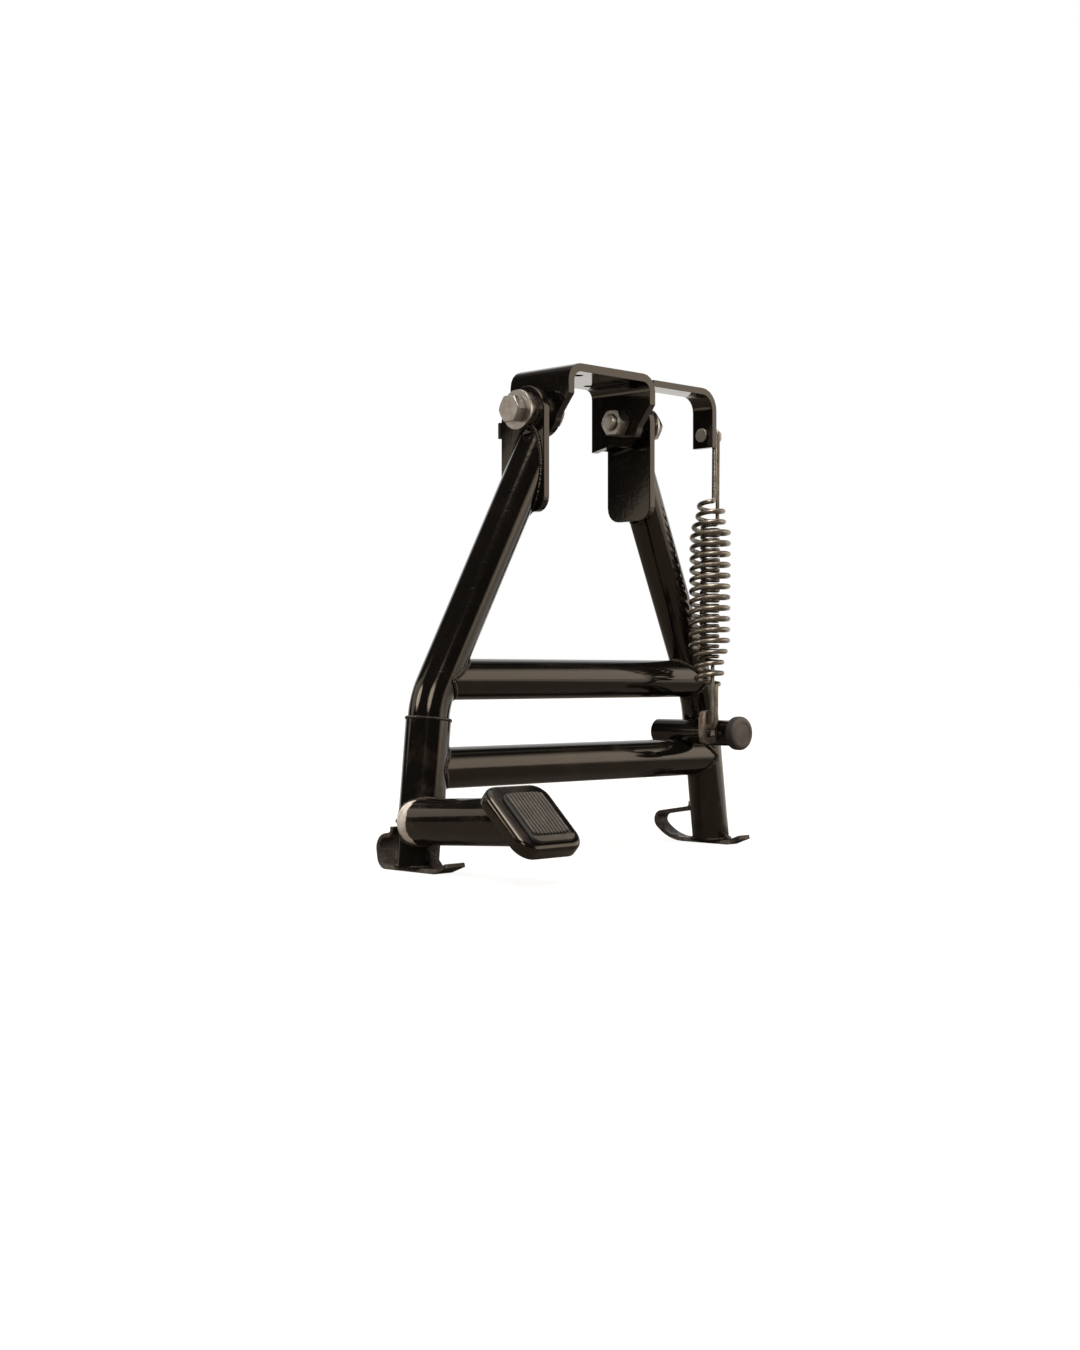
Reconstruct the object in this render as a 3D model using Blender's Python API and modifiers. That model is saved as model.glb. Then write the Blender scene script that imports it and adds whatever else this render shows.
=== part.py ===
"""Motorcycle centre stand: a welded tubular stand that swings on two bolts under a mounting bracket.

Metres, +Z up, +X to the bike's right, +Y forward. The origin is the middle of the swing axis and the stand is
down, so the ground is at z = -pivot_height.
"""

import math

import bmesh
import bpy
from mathutils import Matrix, Vector

# Driving dimensions. Heights are above the ground, the other positions are from the swing axis.
gap = 0.0003
pivot_height = 0.326

tube_radius = 0.0146
sleeve_wall = 0.001
foot_half_track = 0.1575
bend_half_track = 0.1441
bend_height = 0.117
bend_radius = 0.060
leg_foot_y = 0.008
leg_bend_y = 0.010
leg_seat_y = -0.0005
leg_seat_drop = 0.043
leg_cope = 0.003
sleeve_bend_clearance = 0.0018
sleeve_socket_share = 0.43

upper_cross_rise = 0.015
lower_cross_rise = 0.0358

plate_inner_x = 0.054
plate_thickness = 0.006
plate_half_width = 0.022
plate_centre_y = 0.004
plate_drop = 0.0735
plate_corner_radius = 0.011
plate_boss_radius = 0.018
plate_shoulder_drop = 0.004

bush_outer_radius = 0.012
bush_length = 0.020
bolt_radius = 0.008
bolt_fit = 0.00025
thread_radius = 0.006
hex_across_flats = 0.0185
bolt_head_height = 0.008
nut_height = 0.0105
bolt_past_nut = 0.004
washer_radius = 0.0145
washer_thickness = 0.0025

bracket_thickness = 0.006
bracket_past_stop = 0.0003
bracket_height = 0.034
bracket_bend_radius = 0.010
bracket_boss_radius = 0.018
bracket_hole_radius = 0.0043
bracket_hole_x = 0.022
bracket_hole_y = 0.015
stop_height = 0.012
stop_depth = 0.0034
stop_drop = 0.006

right_foot_width = 0.013
left_foot_width = 0.018
foot_thickness = 0.0032
right_foot_front = 0.0556
right_foot_rear = 0.034
right_toe_angle = math.radians(42)
right_toe_radius = 0.040
right_nose_radius = 0.006
right_nose_height = 0.0165
right_gusset_length = 0.006
right_gusset_height = 0.0045
left_foot_front = 0.0335
left_foot_rear = 0.039
left_toe_angle = math.radians(80)
left_toe_radius = 0.007
left_nose_radius = 0.009
left_nose_height = 0.0145
left_gusset_length = 0.011
left_gusset_height = 0.011
foot_arm_angle = math.radians(9)
foot_tab_radius = 0.004
foot_tab_rise = 0.002
foot_tip_rise = 0.0048
gusset_thickness = 0.004

tang_height = 0.0342
tang_offset = 0.008
tang_rise = math.radians(3.1)
pedal_reach = 0.112
pedal_lift = 0.0045
pedal_tilt = math.radians(42.5)
pedal_width = 0.056
pedal_length = 0.058
pedal_depth = 0.010
pedal_wall = 0.0025
pedal_corner_radius = 0.0125
pedal_edge_radius = 0.004
pad_width = 0.039
pad_length = 0.0445
pad_land = 0.0065
pad_side_offset = -0.0015
pad_slope_offset = 0.003
pad_base = 0.0022
pad_rib_height = 0.0013
pad_rib_count = 11
pad_corner_radius = 0.007

bumper_radius = 0.010
bumper_rise = 0.020
bumper_front = 0.023
bumper_rear = 0.054
bumper_bore_radius = 0.0072
bumper_bore_depth = 0.018
buffer_radius = 0.013
buffer_length = 0.009
buffer_edge_radius = 0.003
buffer_stem_length = 0.014

anchor_width = 0.016
anchor_height = 0.0255
anchor_rise = 0.005
anchor_thickness = 0.004
anchor_corner_radius = 0.006
anchor_y = -0.033
anchor_hook_rise = 0.004
anchor_wall = 0.0014
anchor_slot_fit = 0.0009
anchor_slot_drop = 0.0075
hanger_pin_x = 0.126
hanger_pin_y = -0.018
hanger_pin_z = -0.004
hanger_pin_radius = 0.003
hanger_pin_head_radius = 0.0055
hanger_pin_head = 0.002
hanger_thickness = 0.005
hanger_width = 0.020
hanger_drop = 0.010
hanger_top_inset = 0.003
hanger_bend_radius = 0.014

hook_radius = 0.0054
shank_turn = 0.003
outer_wire_radius = 0.0019
outer_coil_radius = 0.01425
outer_end_radius = 0.0099
outer_turns = 16
outer_coil_start = 0.038
outer_coil_end = 0.053
inner_wire_radius = 0.0015
inner_coil_radius = 0.0064
inner_turns = 12
inner_coil_inset = 0.018
hook_side_offset = 0.0021
hook_side_clearance = 0.0012

# Sizes that follow from the ones above.
ground = -pivot_height
sleeve_radius = tube_radius + gap + sleeve_wall
leg_seat_height = pivot_height - leg_seat_drop
leg_top = leg_seat_height + tube_radius * 3
upper_cross_height = bend_height + upper_cross_rise
lower_cross_height = tang_height + lower_cross_rise
bumper_height = lower_cross_height + bumper_rise
plate_outer_x = plate_inner_x + plate_thickness
plate_middle_x = plate_inner_x + plate_thickness / 2
bush_inner_x = plate_middle_x - bush_length / 2
bush_outer_x = plate_middle_x + bush_length / 2
bracket_outer_x = bush_inner_x - gap
bracket_inner_x = bracket_outer_x - bracket_thickness
stop_front = plate_centre_y + plate_half_width + gap
bracket_half_width = stop_front + stop_depth + bracket_past_stop
hanger_rise = bracket_height - hanger_top_inset - hanger_thickness / 2
tube_sides = 8


def clear_scene():
    for obj in list(bpy.data.objects):
        bpy.data.objects.remove(obj, do_unlink=True)


def new_collection(name):
    collection = bpy.data.collections.new(name)
    bpy.context.scene.collection.children.link(collection)
    return collection


def new_material(name, colour, roughness, metallic):
    material = bpy.data.materials.new(name)
    material.use_nodes = True
    shader = material.node_tree.nodes["Principled BSDF"]
    shader.inputs["Base Color"].default_value = (*colour, 1)
    shader.inputs["Roughness"].default_value = roughness
    shader.inputs["Metallic"].default_value = metallic
    return material


clear_scene()
parts = new_collection("centre_stand")
cutters = new_collection("cutters")
gloss_black = new_material("gloss_black", (0.012, 0.011, 0.010), 0.18, 0.0)
worn_steel = new_material("worn_steel", (0.16, 0.11, 0.075), 0.45, 0.7)
zinc_steel = new_material("zinc_steel", (0.55, 0.52, 0.47), 0.32, 1.0)
spring_steel = new_material("spring_steel", (0.46, 0.42, 0.37), 0.35, 1.0)
black_rubber = new_material("black_rubber", (0.022, 0.021, 0.020), 0.75, 0.0)

# The swing axis and the spring's upper pin carry the pieces that move on them.
swing = bpy.data.objects.new("swing_axis", None)
spring_axis = bpy.data.objects.new("spring_axis", None)
for empty in (swing, spring_axis):
    parts.objects.link(empty)


def place(data, name, material, matrix=None, parent=None):
    obj = bpy.data.objects.new(name, data)
    obj.data.materials.clear()
    obj.data.materials.append(material)
    obj.matrix_world = matrix or Matrix()
    parts.objects.link(obj)
    if parent:
        obj.parent = parent
        obj.matrix_parent_inverse = parent.matrix_basis.inverted()
    return obj


def mesh_of(curve, matrix=None):
    """The curve as one welded mesh, for pieces that are cut."""
    guide = bpy.data.objects.new("guide", curve)
    bpy.context.scene.collection.objects.link(guide)
    graph = bpy.context.evaluated_depsgraph_get()
    mesh = bpy.data.meshes.new_from_object(guide.evaluated_get(graph))
    bpy.data.objects.remove(guide)
    bpy.data.curves.remove(curve)
    if matrix:
        mesh.transform(matrix)
    return finished(mesh)


def finished(mesh):
    shape = bmesh.new()
    shape.from_mesh(mesh)
    bmesh.ops.remove_doubles(shape, verts=shape.verts, dist=1e-6)
    bmesh.ops.recalc_face_normals(shape, faces=shape.faces)
    shape.to_mesh(mesh)
    shape.free()
    mesh.shade_smooth()
    mesh.set_sharp_from_angle(angle=math.radians(35))
    return mesh


def tube_curve(name, points, radius, sides=tube_sides):
    curve = bpy.data.curves.new(name, "CURVE")
    curve.dimensions = "3D"
    curve.bevel_depth = radius
    curve.bevel_resolution = sides
    curve.use_fill_caps = True
    spline = curve.splines.new("POLY")
    spline.points.add(len(points) - 1)
    for point, place_at in zip(spline.points, points):
        point.co = (*place_at, 1)
    return curve


def plate_curve(name, outlines, thickness):
    """A flat plate in the local XY plane; outlines after the first are holes."""
    curve = bpy.data.curves.new(name, "CURVE")
    curve.dimensions = "2D"
    curve.fill_mode = "BOTH"
    curve.extrude = thickness / 2
    for outline in outlines:
        spline = curve.splines.new("POLY")
        spline.points.add(len(outline) - 1)
        for point, (x, y) in zip(spline.points, outline):
            point.co = (x, y, 0, 1)
        spline.use_cyclic_u = True
    return curve


def turned(name, profile, steps=32):
    """Turns (radius, height) pairs about local Z. The profile runs down the outer side."""
    mesh = bpy.data.meshes.new(name)
    last = len(profile)
    ring = profile[0][0] > 0
    edges = [(i, (i + 1) % last) for i in range(last if ring else last - 1)]
    mesh.from_pydata([(radius, 0, height) for radius, height in profile], edges, [])
    guide = bpy.data.objects.new("guide", mesh)
    bpy.context.scene.collection.objects.link(guide)
    screw = guide.modifiers.new("turn", "SCREW")
    screw.steps = screw.render_steps = steps
    screw.use_merge_vertices = True
    screw.merge_threshold = 0.00001
    graph = bpy.context.evaluated_depsgraph_get()
    solid = bpy.data.meshes.new_from_object(guide.evaluated_get(graph))
    bpy.data.objects.remove(guide)
    return finished(solid)


def box_mesh(name, low, high):
    mesh = bpy.data.meshes.new(name)
    shape = bmesh.new()
    bmesh.ops.create_cube(shape, size=1)
    size = [b - a for a, b in zip(low, high)]
    middle = [(a + b) / 2 for a, b in zip(low, high)]
    bmesh.ops.scale(shape, vec=size, verts=shape.verts)
    bmesh.ops.translate(shape, vec=middle, verts=shape.verts)
    shape.to_mesh(mesh)
    shape.free()
    return mesh


def cutter(mesh, name):
    obj = bpy.data.objects.new(name, mesh)
    obj.hide_render = True
    obj.display_type = "WIRE"
    cutters.objects.link(obj)
    return obj


def combine(obj, other, operation="DIFFERENCE"):
    boolean = obj.modifiers.new(other.name, "BOOLEAN")
    boolean.operation = operation
    boolean.solver = "EXACT"
    boolean.object = other


def arc(centre, radius, start, end, steps):
    """Points on an arc, angles in degrees."""
    angles = [math.radians(start + (end - start) * i / steps) for i in range(steps + 1)]
    return [(centre[0] + radius * math.cos(a), centre[1] + radius * math.sin(a)) for a in angles]


def circle(centre, radius, count=32):
    return arc(centre, radius, 0, 360, count)[:-1]


def rounded_rectangle(low, high, radius, steps=5):
    (x0, y0), (x1, y1) = low, high
    return (
        arc((x1 - radius, y0 + radius), radius, -90, 0, steps)
        + arc((x1 - radius, y1 - radius), radius, 0, 90, steps)
        + arc((x0 + radius, y1 - radius), radius, 90, 180, steps)
        + arc((x0 + radius, y0 + radius), radius, 180, 270, steps)
    )


def filleted(corners, radius, steps):
    """A path through the corners, each inner one rounded to the radius."""
    corners = [Vector(corner) for corner in corners]
    path = [corners[0]]
    for before, corner, after in zip(corners, corners[1:], corners[2:]):
        to_start, to_end = (before - corner).normalized(), (after - corner).normalized()
        half = to_start.angle(to_end) / 2
        centre = corner + (to_start + to_end).normalized() * radius / math.sin(half)
        start = corner + to_start * radius / math.tan(half) - centre
        end = corner + to_end * radius / math.tan(half) - centre
        path += [centre + start.slerp(end, i / steps) * radius for i in range(steps + 1)]
    return path + [corners[-1]]


def strip_outline(path, thickness):
    """The closed side view of a bent strip whose middle runs along the 2D path."""
    left, right = [], []
    for i, point in enumerate(path):
        before, after = path[max(i - 1, 0)], path[min(i + 1, len(path) - 1)]
        along = (Vector(after) - Vector(before)).normalized()
        side = Vector((-along.y, along.x)) * thickness / 2
        left.append(tuple(Vector(point) + side))
        right.append(tuple(Vector(point) - side))
    return left + right[::-1]


def side_view(x):
    """Local XY is the bike's side view, Y forward and Z up, at this x."""
    return Matrix(((0, 0, 1, x), (1, 0, 0, 0), (0, 1, 0, 0), (0, 0, 0, 1)))


def front_view(y):
    """Local XY is the view from behind, X right and Z up, at this y."""
    return Matrix(((1, 0, 0, 0), (0, 0, -1, y), (0, 1, 0, 0), (0, 0, 0, 1)))


def along_x(x, y=0, z=0):
    return Matrix.Translation((x, y, z)) @ Matrix.Rotation(math.pi / 2, 4, "Y")


def leg_axis(side, height):
    """A point of a leg's axis, side +1 on the right and -1 on the left."""
    if height < bend_height:
        share = height / bend_height
        x = foot_half_track + (bend_half_track - foot_half_track) * share
        y = leg_foot_y + (leg_bend_y - leg_foot_y) * share
    else:
        share = (height - bend_height) / (leg_seat_height - bend_height)
        x = bend_half_track + (plate_outer_x - bend_half_track) * share
        y = leg_bend_y + (leg_seat_y - leg_bend_y) * share
    return Vector((side * x, y, ground + height))


def leg_path(side, low, high):
    return filleted([leg_axis(side, low), leg_axis(side, bend_height), leg_axis(side, high)], bend_radius, 6)


# The sleeve ends just below the leg's bend.
below_bend = leg_axis(1, bend_height) - leg_axis(1, 0)
above_bend = leg_axis(1, leg_seat_height) - leg_axis(1, bend_height)
bend_tangent = bend_radius * math.tan(below_bend.angle(above_bend) / 2)
sleeve_top_height = bend_height - bend_tangent - sleeve_bend_clearance
sleeve_socket_depth = (sleeve_top_height - tang_height) * sleeve_socket_share

# Cutters that several tubes share: each leg, the sleeve, the lower cross tube and the tang, a gap larger.
leg_cutters = {}
for side, name in ((1, "right_leg_cutter"), (-1, "left_leg_cutter")):
    leg_curve = tube_curve("leg", leg_path(side, -tube_radius, leg_top), tube_radius + gap)
    leg_cutters[side] = cutter(mesh_of(leg_curve), name)
sleeve_path = [leg_axis(-1, -tube_radius), leg_axis(-1, sleeve_top_height + gap)]
sleeve_cutter = cutter(mesh_of(tube_curve("sleeve", sleeve_path, sleeve_radius + gap)), "sleeve_cutter")


def cross_ends(height, radius):
    inset = radius * 0.25
    right, left = leg_axis(1, height), leg_axis(-1, height)
    return [left + Vector((inset, 0, 0)), right - Vector((inset, 0, 0))]


lower_cross_cutter = cutter(
    mesh_of(tube_curve("cross", cross_ends(lower_cross_height, 0), tube_radius + gap)), "lower_cross_cutter"
)

# The tang's frame: its axis starts outward and rearward of the left leg's, runs rearward and rises a little.
post_top = leg_axis(-1, tang_height)
tang_start = post_top - Vector((tang_offset, tang_offset, 0))
tang_matrix = Matrix.Translation(tang_start) @ Matrix.Rotation(math.pi / 2 - tang_rise, 4, "X")
tang_end = tang_matrix @ Vector((0, 0, pedal_reach))


def tang_mesh(radius):
    dome = [(radius * math.sin(a), -radius * math.cos(a)) for a in (math.radians(10 * i) for i in range(10))]
    length = pedal_reach + radius * 2
    # The turned profile runs down its outer side, from the pedal end to the domed end.
    mesh = turned("tang", [(0, length), (radius, length)] + dome[::-1], 24)
    mesh.transform(tang_matrix)
    return mesh


tang_cutter = cutter(tang_mesh(sleeve_radius + gap), "tang_cutter")


def foot_floor(side):
    """A cutter that leaves a tube's lower end flat on the foot's strip."""
    reach = tube_radius * 3
    middle_x = side * foot_half_track
    low = (middle_x - reach, leg_foot_y - reach, ground - reach)
    high = (middle_x + reach, leg_foot_y + reach, ground + foot_thickness + gap)
    return box_mesh("floor", low, high)


def build_legs():
    """Each leg is mitred onto its pivot plate and coped round the pivot's washer."""
    ends = {1: 0, -1: sleeve_top_height - sleeve_socket_depth + gap}
    reach = tube_radius * 3
    for side, name in ((1, "right_leg_tube"), (-1, "left_leg_tube")):
        mesh = mesh_of(tube_curve(name, leg_path(side, ends[side], leg_top), tube_radius))
        leg = place(mesh, name, gloss_black, parent=swing)
        inner = sorted((0, side * (plate_outer_x + gap)))
        mitre = box_mesh(name, (inner[0], -reach, ground), (inner[1], reach, reach))
        combine(leg, cutter(mitre, name + "_mitre"))
        cope_radius = washer_radius + leg_cope
        cope = turned("cope", [(0, reach * 3), (cope_radius, reach * 3), (cope_radius, 0), (0, 0)])
        outward = Matrix.Rotation(0 if side > 0 else math.pi, 4, "Z")
        cope.transform(outward @ along_x(0))
        combine(leg, cutter(cope, name + "_cope"))
        if side > 0:
            combine(leg, cutter(foot_floor(side), name + "_flat"))


def build_sleeve():
    path = [post_top, leg_axis(-1, sleeve_top_height)]
    sleeve = place(mesh_of(tube_curve("sleeve", path, sleeve_radius)), "left_lower_sleeve", gloss_black, parent=swing)
    socket_low = sleeve_top_height - sleeve_socket_depth
    socket_path = [leg_axis(-1, socket_low), leg_axis(-1, sleeve_top_height + bend_tangent)]
    socket = cutter(mesh_of(tube_curve("socket", socket_path, tube_radius + gap)), "sleeve_socket")
    combine(sleeve, socket)
    combine(sleeve, tang_cutter)


def build_cross_tubes():
    for name, height in (("upper_cross_tube", upper_cross_height), ("lower_cross_tube", lower_cross_height)):
        mesh = mesh_of(tube_curve(name, cross_ends(height, tube_radius), tube_radius))
        tube = place(mesh, name, gloss_black, parent=swing)
        combine(tube, leg_cutters[1])
        combine(tube, leg_cutters[-1] if height > sleeve_top_height else sleeve_cutter)


def foot_path(side):
    """The middle of a foot's strip, from its rear tip along the sole and round the nose back to the leg."""
    if side > 0:
        front, rear, gusset = right_foot_front, right_foot_rear, right_gusset_length
        toe_angle, toe_radius = right_toe_angle, right_toe_radius
        nose_radius, nose_z = right_nose_radius, right_nose_height
    else:
        front, rear, gusset = left_foot_front, left_foot_rear, left_gusset_length
        toe_angle, toe_radius = left_toe_angle, left_toe_radius
        nose_radius, nose_z = left_nose_radius, left_nose_height
    middle = foot_thickness / 2
    nose_y = front - middle - nose_radius
    # The toe's straight runs down from the nose at the toe angle until it meets the sole.
    touch_y = nose_y + nose_radius * math.sin(toe_angle)
    touch_z = nose_z - nose_radius * math.cos(toe_angle)
    corner_y = touch_y - (touch_z - middle) / math.tan(toe_angle)
    toe_y = corner_y - toe_radius * math.tan(toe_angle / 2)
    toe_degrees, arm_degrees = math.degrees(toe_angle), math.degrees(foot_arm_angle)
    # The arm runs back from the nose, rising a little, and turns up the leg's front.
    tab_y = leg_axis(1, nose_z * 2).y - leg_foot_y + tube_radius + gap + middle
    arm_y = nose_y + nose_radius * math.sin(foot_arm_angle)
    arm_z = nose_z + nose_radius * math.cos(foot_arm_angle)
    tab_z = arm_z + (arm_y - tab_y - foot_tab_radius) * math.tan(foot_arm_angle)
    tab_z += foot_tab_radius / math.cos(foot_arm_angle)
    path = [(-rear, middle + foot_tip_rise), (-tube_radius - gap * 2 - gusset, middle)]
    path += arc((toe_y, middle + toe_radius), toe_radius, -90, toe_degrees - 90, 6)
    path += arc((nose_y, nose_z), nose_radius, toe_degrees - 90, 90 - arm_degrees, 8)
    path += arc((tab_y + foot_tab_radius, tab_z), foot_tab_radius, -90 - arm_degrees, -180, 4)
    return path + [(tab_y, tab_z + foot_tab_rise)]


def build_feet():
    """Each foot is a strip bent into a runner, with its front end looped back to the leg."""
    sizes = {1: (right_gusset_length, right_gusset_height), -1: (left_gusset_length, left_gusset_height)}
    for side, name in ((1, "right"), (-1, "left")):
        under = leg_axis(side, 0)
        matrix = Matrix.Translation((0, under.y, ground)) @ side_view(under.x)
        outline = strip_outline(foot_path(side), foot_thickness)
        width = right_foot_width if side > 0 else left_foot_width
        foot = place(mesh_of(plate_curve(name, [outline], width)), f"{name}_foot", worn_steel, matrix, swing)
        if side < 0:
            combine(foot, tang_cutter)
        near = tube_radius + gap * 2
        low = foot_thickness + gap
        length, height = sizes[side]
        gusset = [(-near - length, low), (-near, low + height), (-near, low)]
        curve = plate_curve(name, [gusset], gusset_thickness)
        place(curve, f"{name}_foot_gusset", worn_steel, matrix, swing)


def build_foot_post():
    """The stub under the tang that carries the left foot."""
    path = [leg_axis(-1, 0), post_top - Vector((0, 0, gap))]
    post = place(mesh_of(tube_curve("post", path, tube_radius)), "left_foot_post", gloss_black, parent=swing)
    combine(post, tang_cutter)
    combine(post, cutter(foot_floor(-1), "post_flat"))


def pedal_matrix():
    """Local X is the bike's right, Y points down the pedal's slope to the rear, Z out of its tread."""
    down = Vector((0, -math.cos(pedal_tilt), -math.sin(pedal_tilt)))
    right = Vector((1, 0, 0))
    out = Vector((0, -math.sin(pedal_tilt), math.cos(pedal_tilt)))
    centre = tang_end + Vector((0, 0, pedal_lift))
    rotation = Matrix((-right, down, out)).transposed().to_4x4()
    return Matrix.Translation(centre) @ rotation


def build_tang():
    tang = place(tang_mesh(sleeve_radius), "tang_tube", gloss_black, parent=swing)
    trim_low = (-pedal_width, -pedal_length * 2, -pedal_wall - gap)
    trim = box_mesh("trim", trim_low, (pedal_width, pedal_length * 2, pedal_length * 2))
    trim.transform(pedal_matrix())
    combine(tang, cutter(trim, "tang_trim"))


def build_pedal():
    """A pressed tray, open behind, with its front wall notched over the tang."""
    mesh = bpy.data.meshes.new("pedal_plate")
    shape = bmesh.new()
    bmesh.ops.create_cube(shape, size=1)
    bmesh.ops.scale(shape, vec=(pedal_width, pedal_length, pedal_depth), verts=shape.verts)
    bmesh.ops.translate(shape, vec=(0, 0, -pedal_depth / 2), verts=shape.verts)
    upright = [e for e in shape.edges if abs(e.verts[0].co.z - e.verts[1].co.z) > pedal_depth / 2]
    bmesh.ops.bevel(shape, geom=upright, offset=pedal_corner_radius, segments=5, profile=0.5, affect="EDGES")
    rim = [e for e in shape.edges if all(v.co.z > -pedal_depth / 4 for v in e.verts)]
    bmesh.ops.bevel(shape, geom=rim, offset=pedal_edge_radius, segments=4, profile=0.5, affect="EDGES")
    under = [f for f in shape.faces if all(v.co.z < -pedal_depth * 0.99 for v in f.verts)]
    bmesh.ops.delete(shape, geom=under, context="FACES")
    shape.to_mesh(mesh)
    shape.free()
    mesh.shade_smooth()
    mesh.set_sharp_from_angle(angle=math.radians(35))
    pedal = place(mesh, "pedal_plate", gloss_black, pedal_matrix(), swing)
    wall = pedal.modifiers.new("wall", "SOLIDIFY")
    wall.thickness = pedal_wall
    wall.offset = -1
    combine(pedal, tang_notch())


def tang_notch():
    mesh = mesh_of(tube_curve("notch", [tang_start, tang_end], sleeve_radius + gap))
    reach = pedal_length * 3
    keep_above = box_mesh("notch", (-reach, -reach, -reach), (reach, reach, -pedal_wall - gap / 2))
    keep_above.transform(pedal_matrix())
    notch = cutter(mesh, "tang_notch")
    combine(notch, cutter(keep_above, "tang_notch_limit"), "INTERSECT")
    return notch


def build_pad():
    """The ribbed tread: a comb section drawn out along the pedal's slope, with a smooth land at its lower end."""
    pitch = pad_width / pad_rib_count
    top = pad_base + pad_rib_height
    outline = [(pad_width / 2, 0), (pad_width / 2, pad_base)]
    for i in range(pad_rib_count):
        middle = pad_width / 2 - pitch * (i + 0.5)
        outline += [(middle + pitch * x, z) for x, z in ((0.34, pad_base), (0.18, top), (-0.18, top), (-0.34, pad_base))]
    outline += [(-pad_width / 2, pad_base), (-pad_width / 2, 0)]
    mesh = mesh_of(plate_curve("pad", [outline], pad_length))
    stand_up = Matrix.Rotation(math.pi / 2, 4, "X")
    mesh.transform(Matrix.Translation((0, 0, gap)) @ stand_up)
    # The frame's local X points to the bike's left, because its Y runs down the slope.
    matrix = pedal_matrix() @ Matrix.Translation((-pad_side_offset, pad_slope_offset, 0))
    pad = place(mesh, "pedal_rubber", black_rubber, matrix, swing)
    half = (pad_width / 2, pad_length / 2)
    rounded = rounded_rectangle((-half[0] - gap, -half[1] + gap), (half[0] + gap, half[1] - gap), pad_corner_radius)
    limit = cutter(mesh_of(plate_curve("pad", [rounded], pad_width), matrix), "pad_limit")
    combine(pad, limit, "INTERSECT")
    level_low = (-pad_width, half[1] - pad_land, gap + pad_base + gap)
    level = box_mesh("pad_land", level_low, (pad_width, pad_length, pad_width))
    level.transform(matrix)
    combine(pad, cutter(level, "pad_land_cutter"))


def build_bumper():
    """The cross tube along the right leg that carries the rubber buffer and the spring's anchor."""
    beside = leg_axis(1, bumper_height)
    slope = abs(foot_half_track - bend_half_track) / bend_height
    x = beside.x - (tube_radius + bumper_radius + gap) * math.hypot(1, slope) - gap
    front = Vector((x, beside.y + bumper_front, beside.z))
    rear = Vector((x, beside.y - bumper_rear, beside.z))
    tube = place(mesh_of(tube_curve("bumper", [front, rear], bumper_radius, 8)), "bumper_tube", gloss_black, parent=swing)
    combine(tube, lower_cross_cutter)
    bore_path = [rear + Vector((0, bumper_bore_depth, 0)), rear - Vector((0, 0.01, 0))]
    bore = cutter(mesh_of(tube_curve("bore", bore_path, bumper_bore_radius, 8)), "bumper_bore")
    combine(tube, bore)
    edge = buffer_edge_radius
    stem = bumper_bore_radius - gap
    profile = [(0, buffer_length)]
    profile += arc((buffer_radius - edge, buffer_length - edge), edge, 90, 0, 4)
    profile += arc((buffer_radius - edge, edge), edge, 0, -90, 4)
    profile += [(stem, 0), (stem, -buffer_stem_length), (0, -buffer_stem_length)]
    back = Matrix.Translation(rear - Vector((0, gap, 0))) @ Matrix.Rotation(math.pi / 2, 4, "X")
    place(turned("buffer", profile, 28), "rubber_buffer", black_rubber, back, swing)
    return x - bumper_radius


def build_anchor(tube_side):
    """The tab on the bumper tube; the springs' hooks pass through its slot. Returns the hooks' place in it."""
    high = tube_side - gap
    low = high - anchor_width
    top = ground + bumper_height + anchor_rise + anchor_height / 2
    bottom = top - anchor_height
    corner = anchor_corner_radius
    outline = (
        [(high, bottom), (high, top)]
        + arc((low + corner, top - corner), corner, 90, 180, 5)
        + arc((low + corner, bottom + corner), corner, 180, 270, 5)
    )
    reach_left = hook_side_offset + inner_wire_radius + anchor_slot_fit
    reach_right = hook_side_offset + outer_wire_radius + anchor_slot_fit
    above = outer_wire_radius + anchor_slot_fit
    slot_x = high - anchor_wall - reach_right
    slot_z = ground + bumper_height + anchor_hook_rise
    slot_low = (slot_x - reach_left, slot_z - anchor_slot_drop)
    slot = rounded_rectangle(slot_low, (slot_x + reach_right, slot_z + above), above)
    place(plate_curve("anchor", [outline, slot], anchor_thickness), "spring_anchor_plate", zinc_steel,
          front_view(anchor_y), swing)
    return Vector((slot_x, anchor_y, slot_z))


def build_pivot_plates():
    """Each plate carries a leg's mitred top end below and the swing bush above."""
    bottom = -plate_drop
    front, back = plate_centre_y + plate_half_width, plate_centre_y - plate_half_width
    radius = plate_corner_radius
    outline = (
        arc((front - radius, bottom + radius), radius, -90, 0, 5)
        + [(front, -plate_shoulder_drop)]
        + arc((0, 0), plate_boss_radius, 15, 175, 14)
        + [(back, -plate_shoulder_drop)]
        + arc((back + radius, bottom + radius), radius, 180, 270, 5)
    )
    hole = circle((0, 0), bush_outer_radius + gap)
    for side, name in ((1, "right"), (-1, "left")):
        curve = plate_curve(name, [outline, hole], plate_thickness)
        place(curve, f"{name}_pivot_plate", gloss_black, side_view(side * plate_middle_x), swing)
        bore = bolt_radius + bolt_fit
        half = bush_length / 2
        ring = [(bush_outer_radius, half), (bush_outer_radius, -half), (bore, -half), (bore, half)]
        place(turned("bush", ring), f"{name}_pivot_bush", zinc_steel, along_x(side * plate_middle_x), swing)


def hexagon_mesh(name, low, high):
    mesh = bpy.data.meshes.new(name)
    shape = bmesh.new()
    radius = hex_across_flats / math.sqrt(3)
    bmesh.ops.create_cone(shape, cap_ends=True, segments=6, radius1=radius, radius2=radius, depth=high - low)
    bmesh.ops.translate(shape, vec=(0, 0, (high + low) / 2), verts=shape.verts)
    shape.to_mesh(mesh)
    shape.free()
    return mesh


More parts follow.
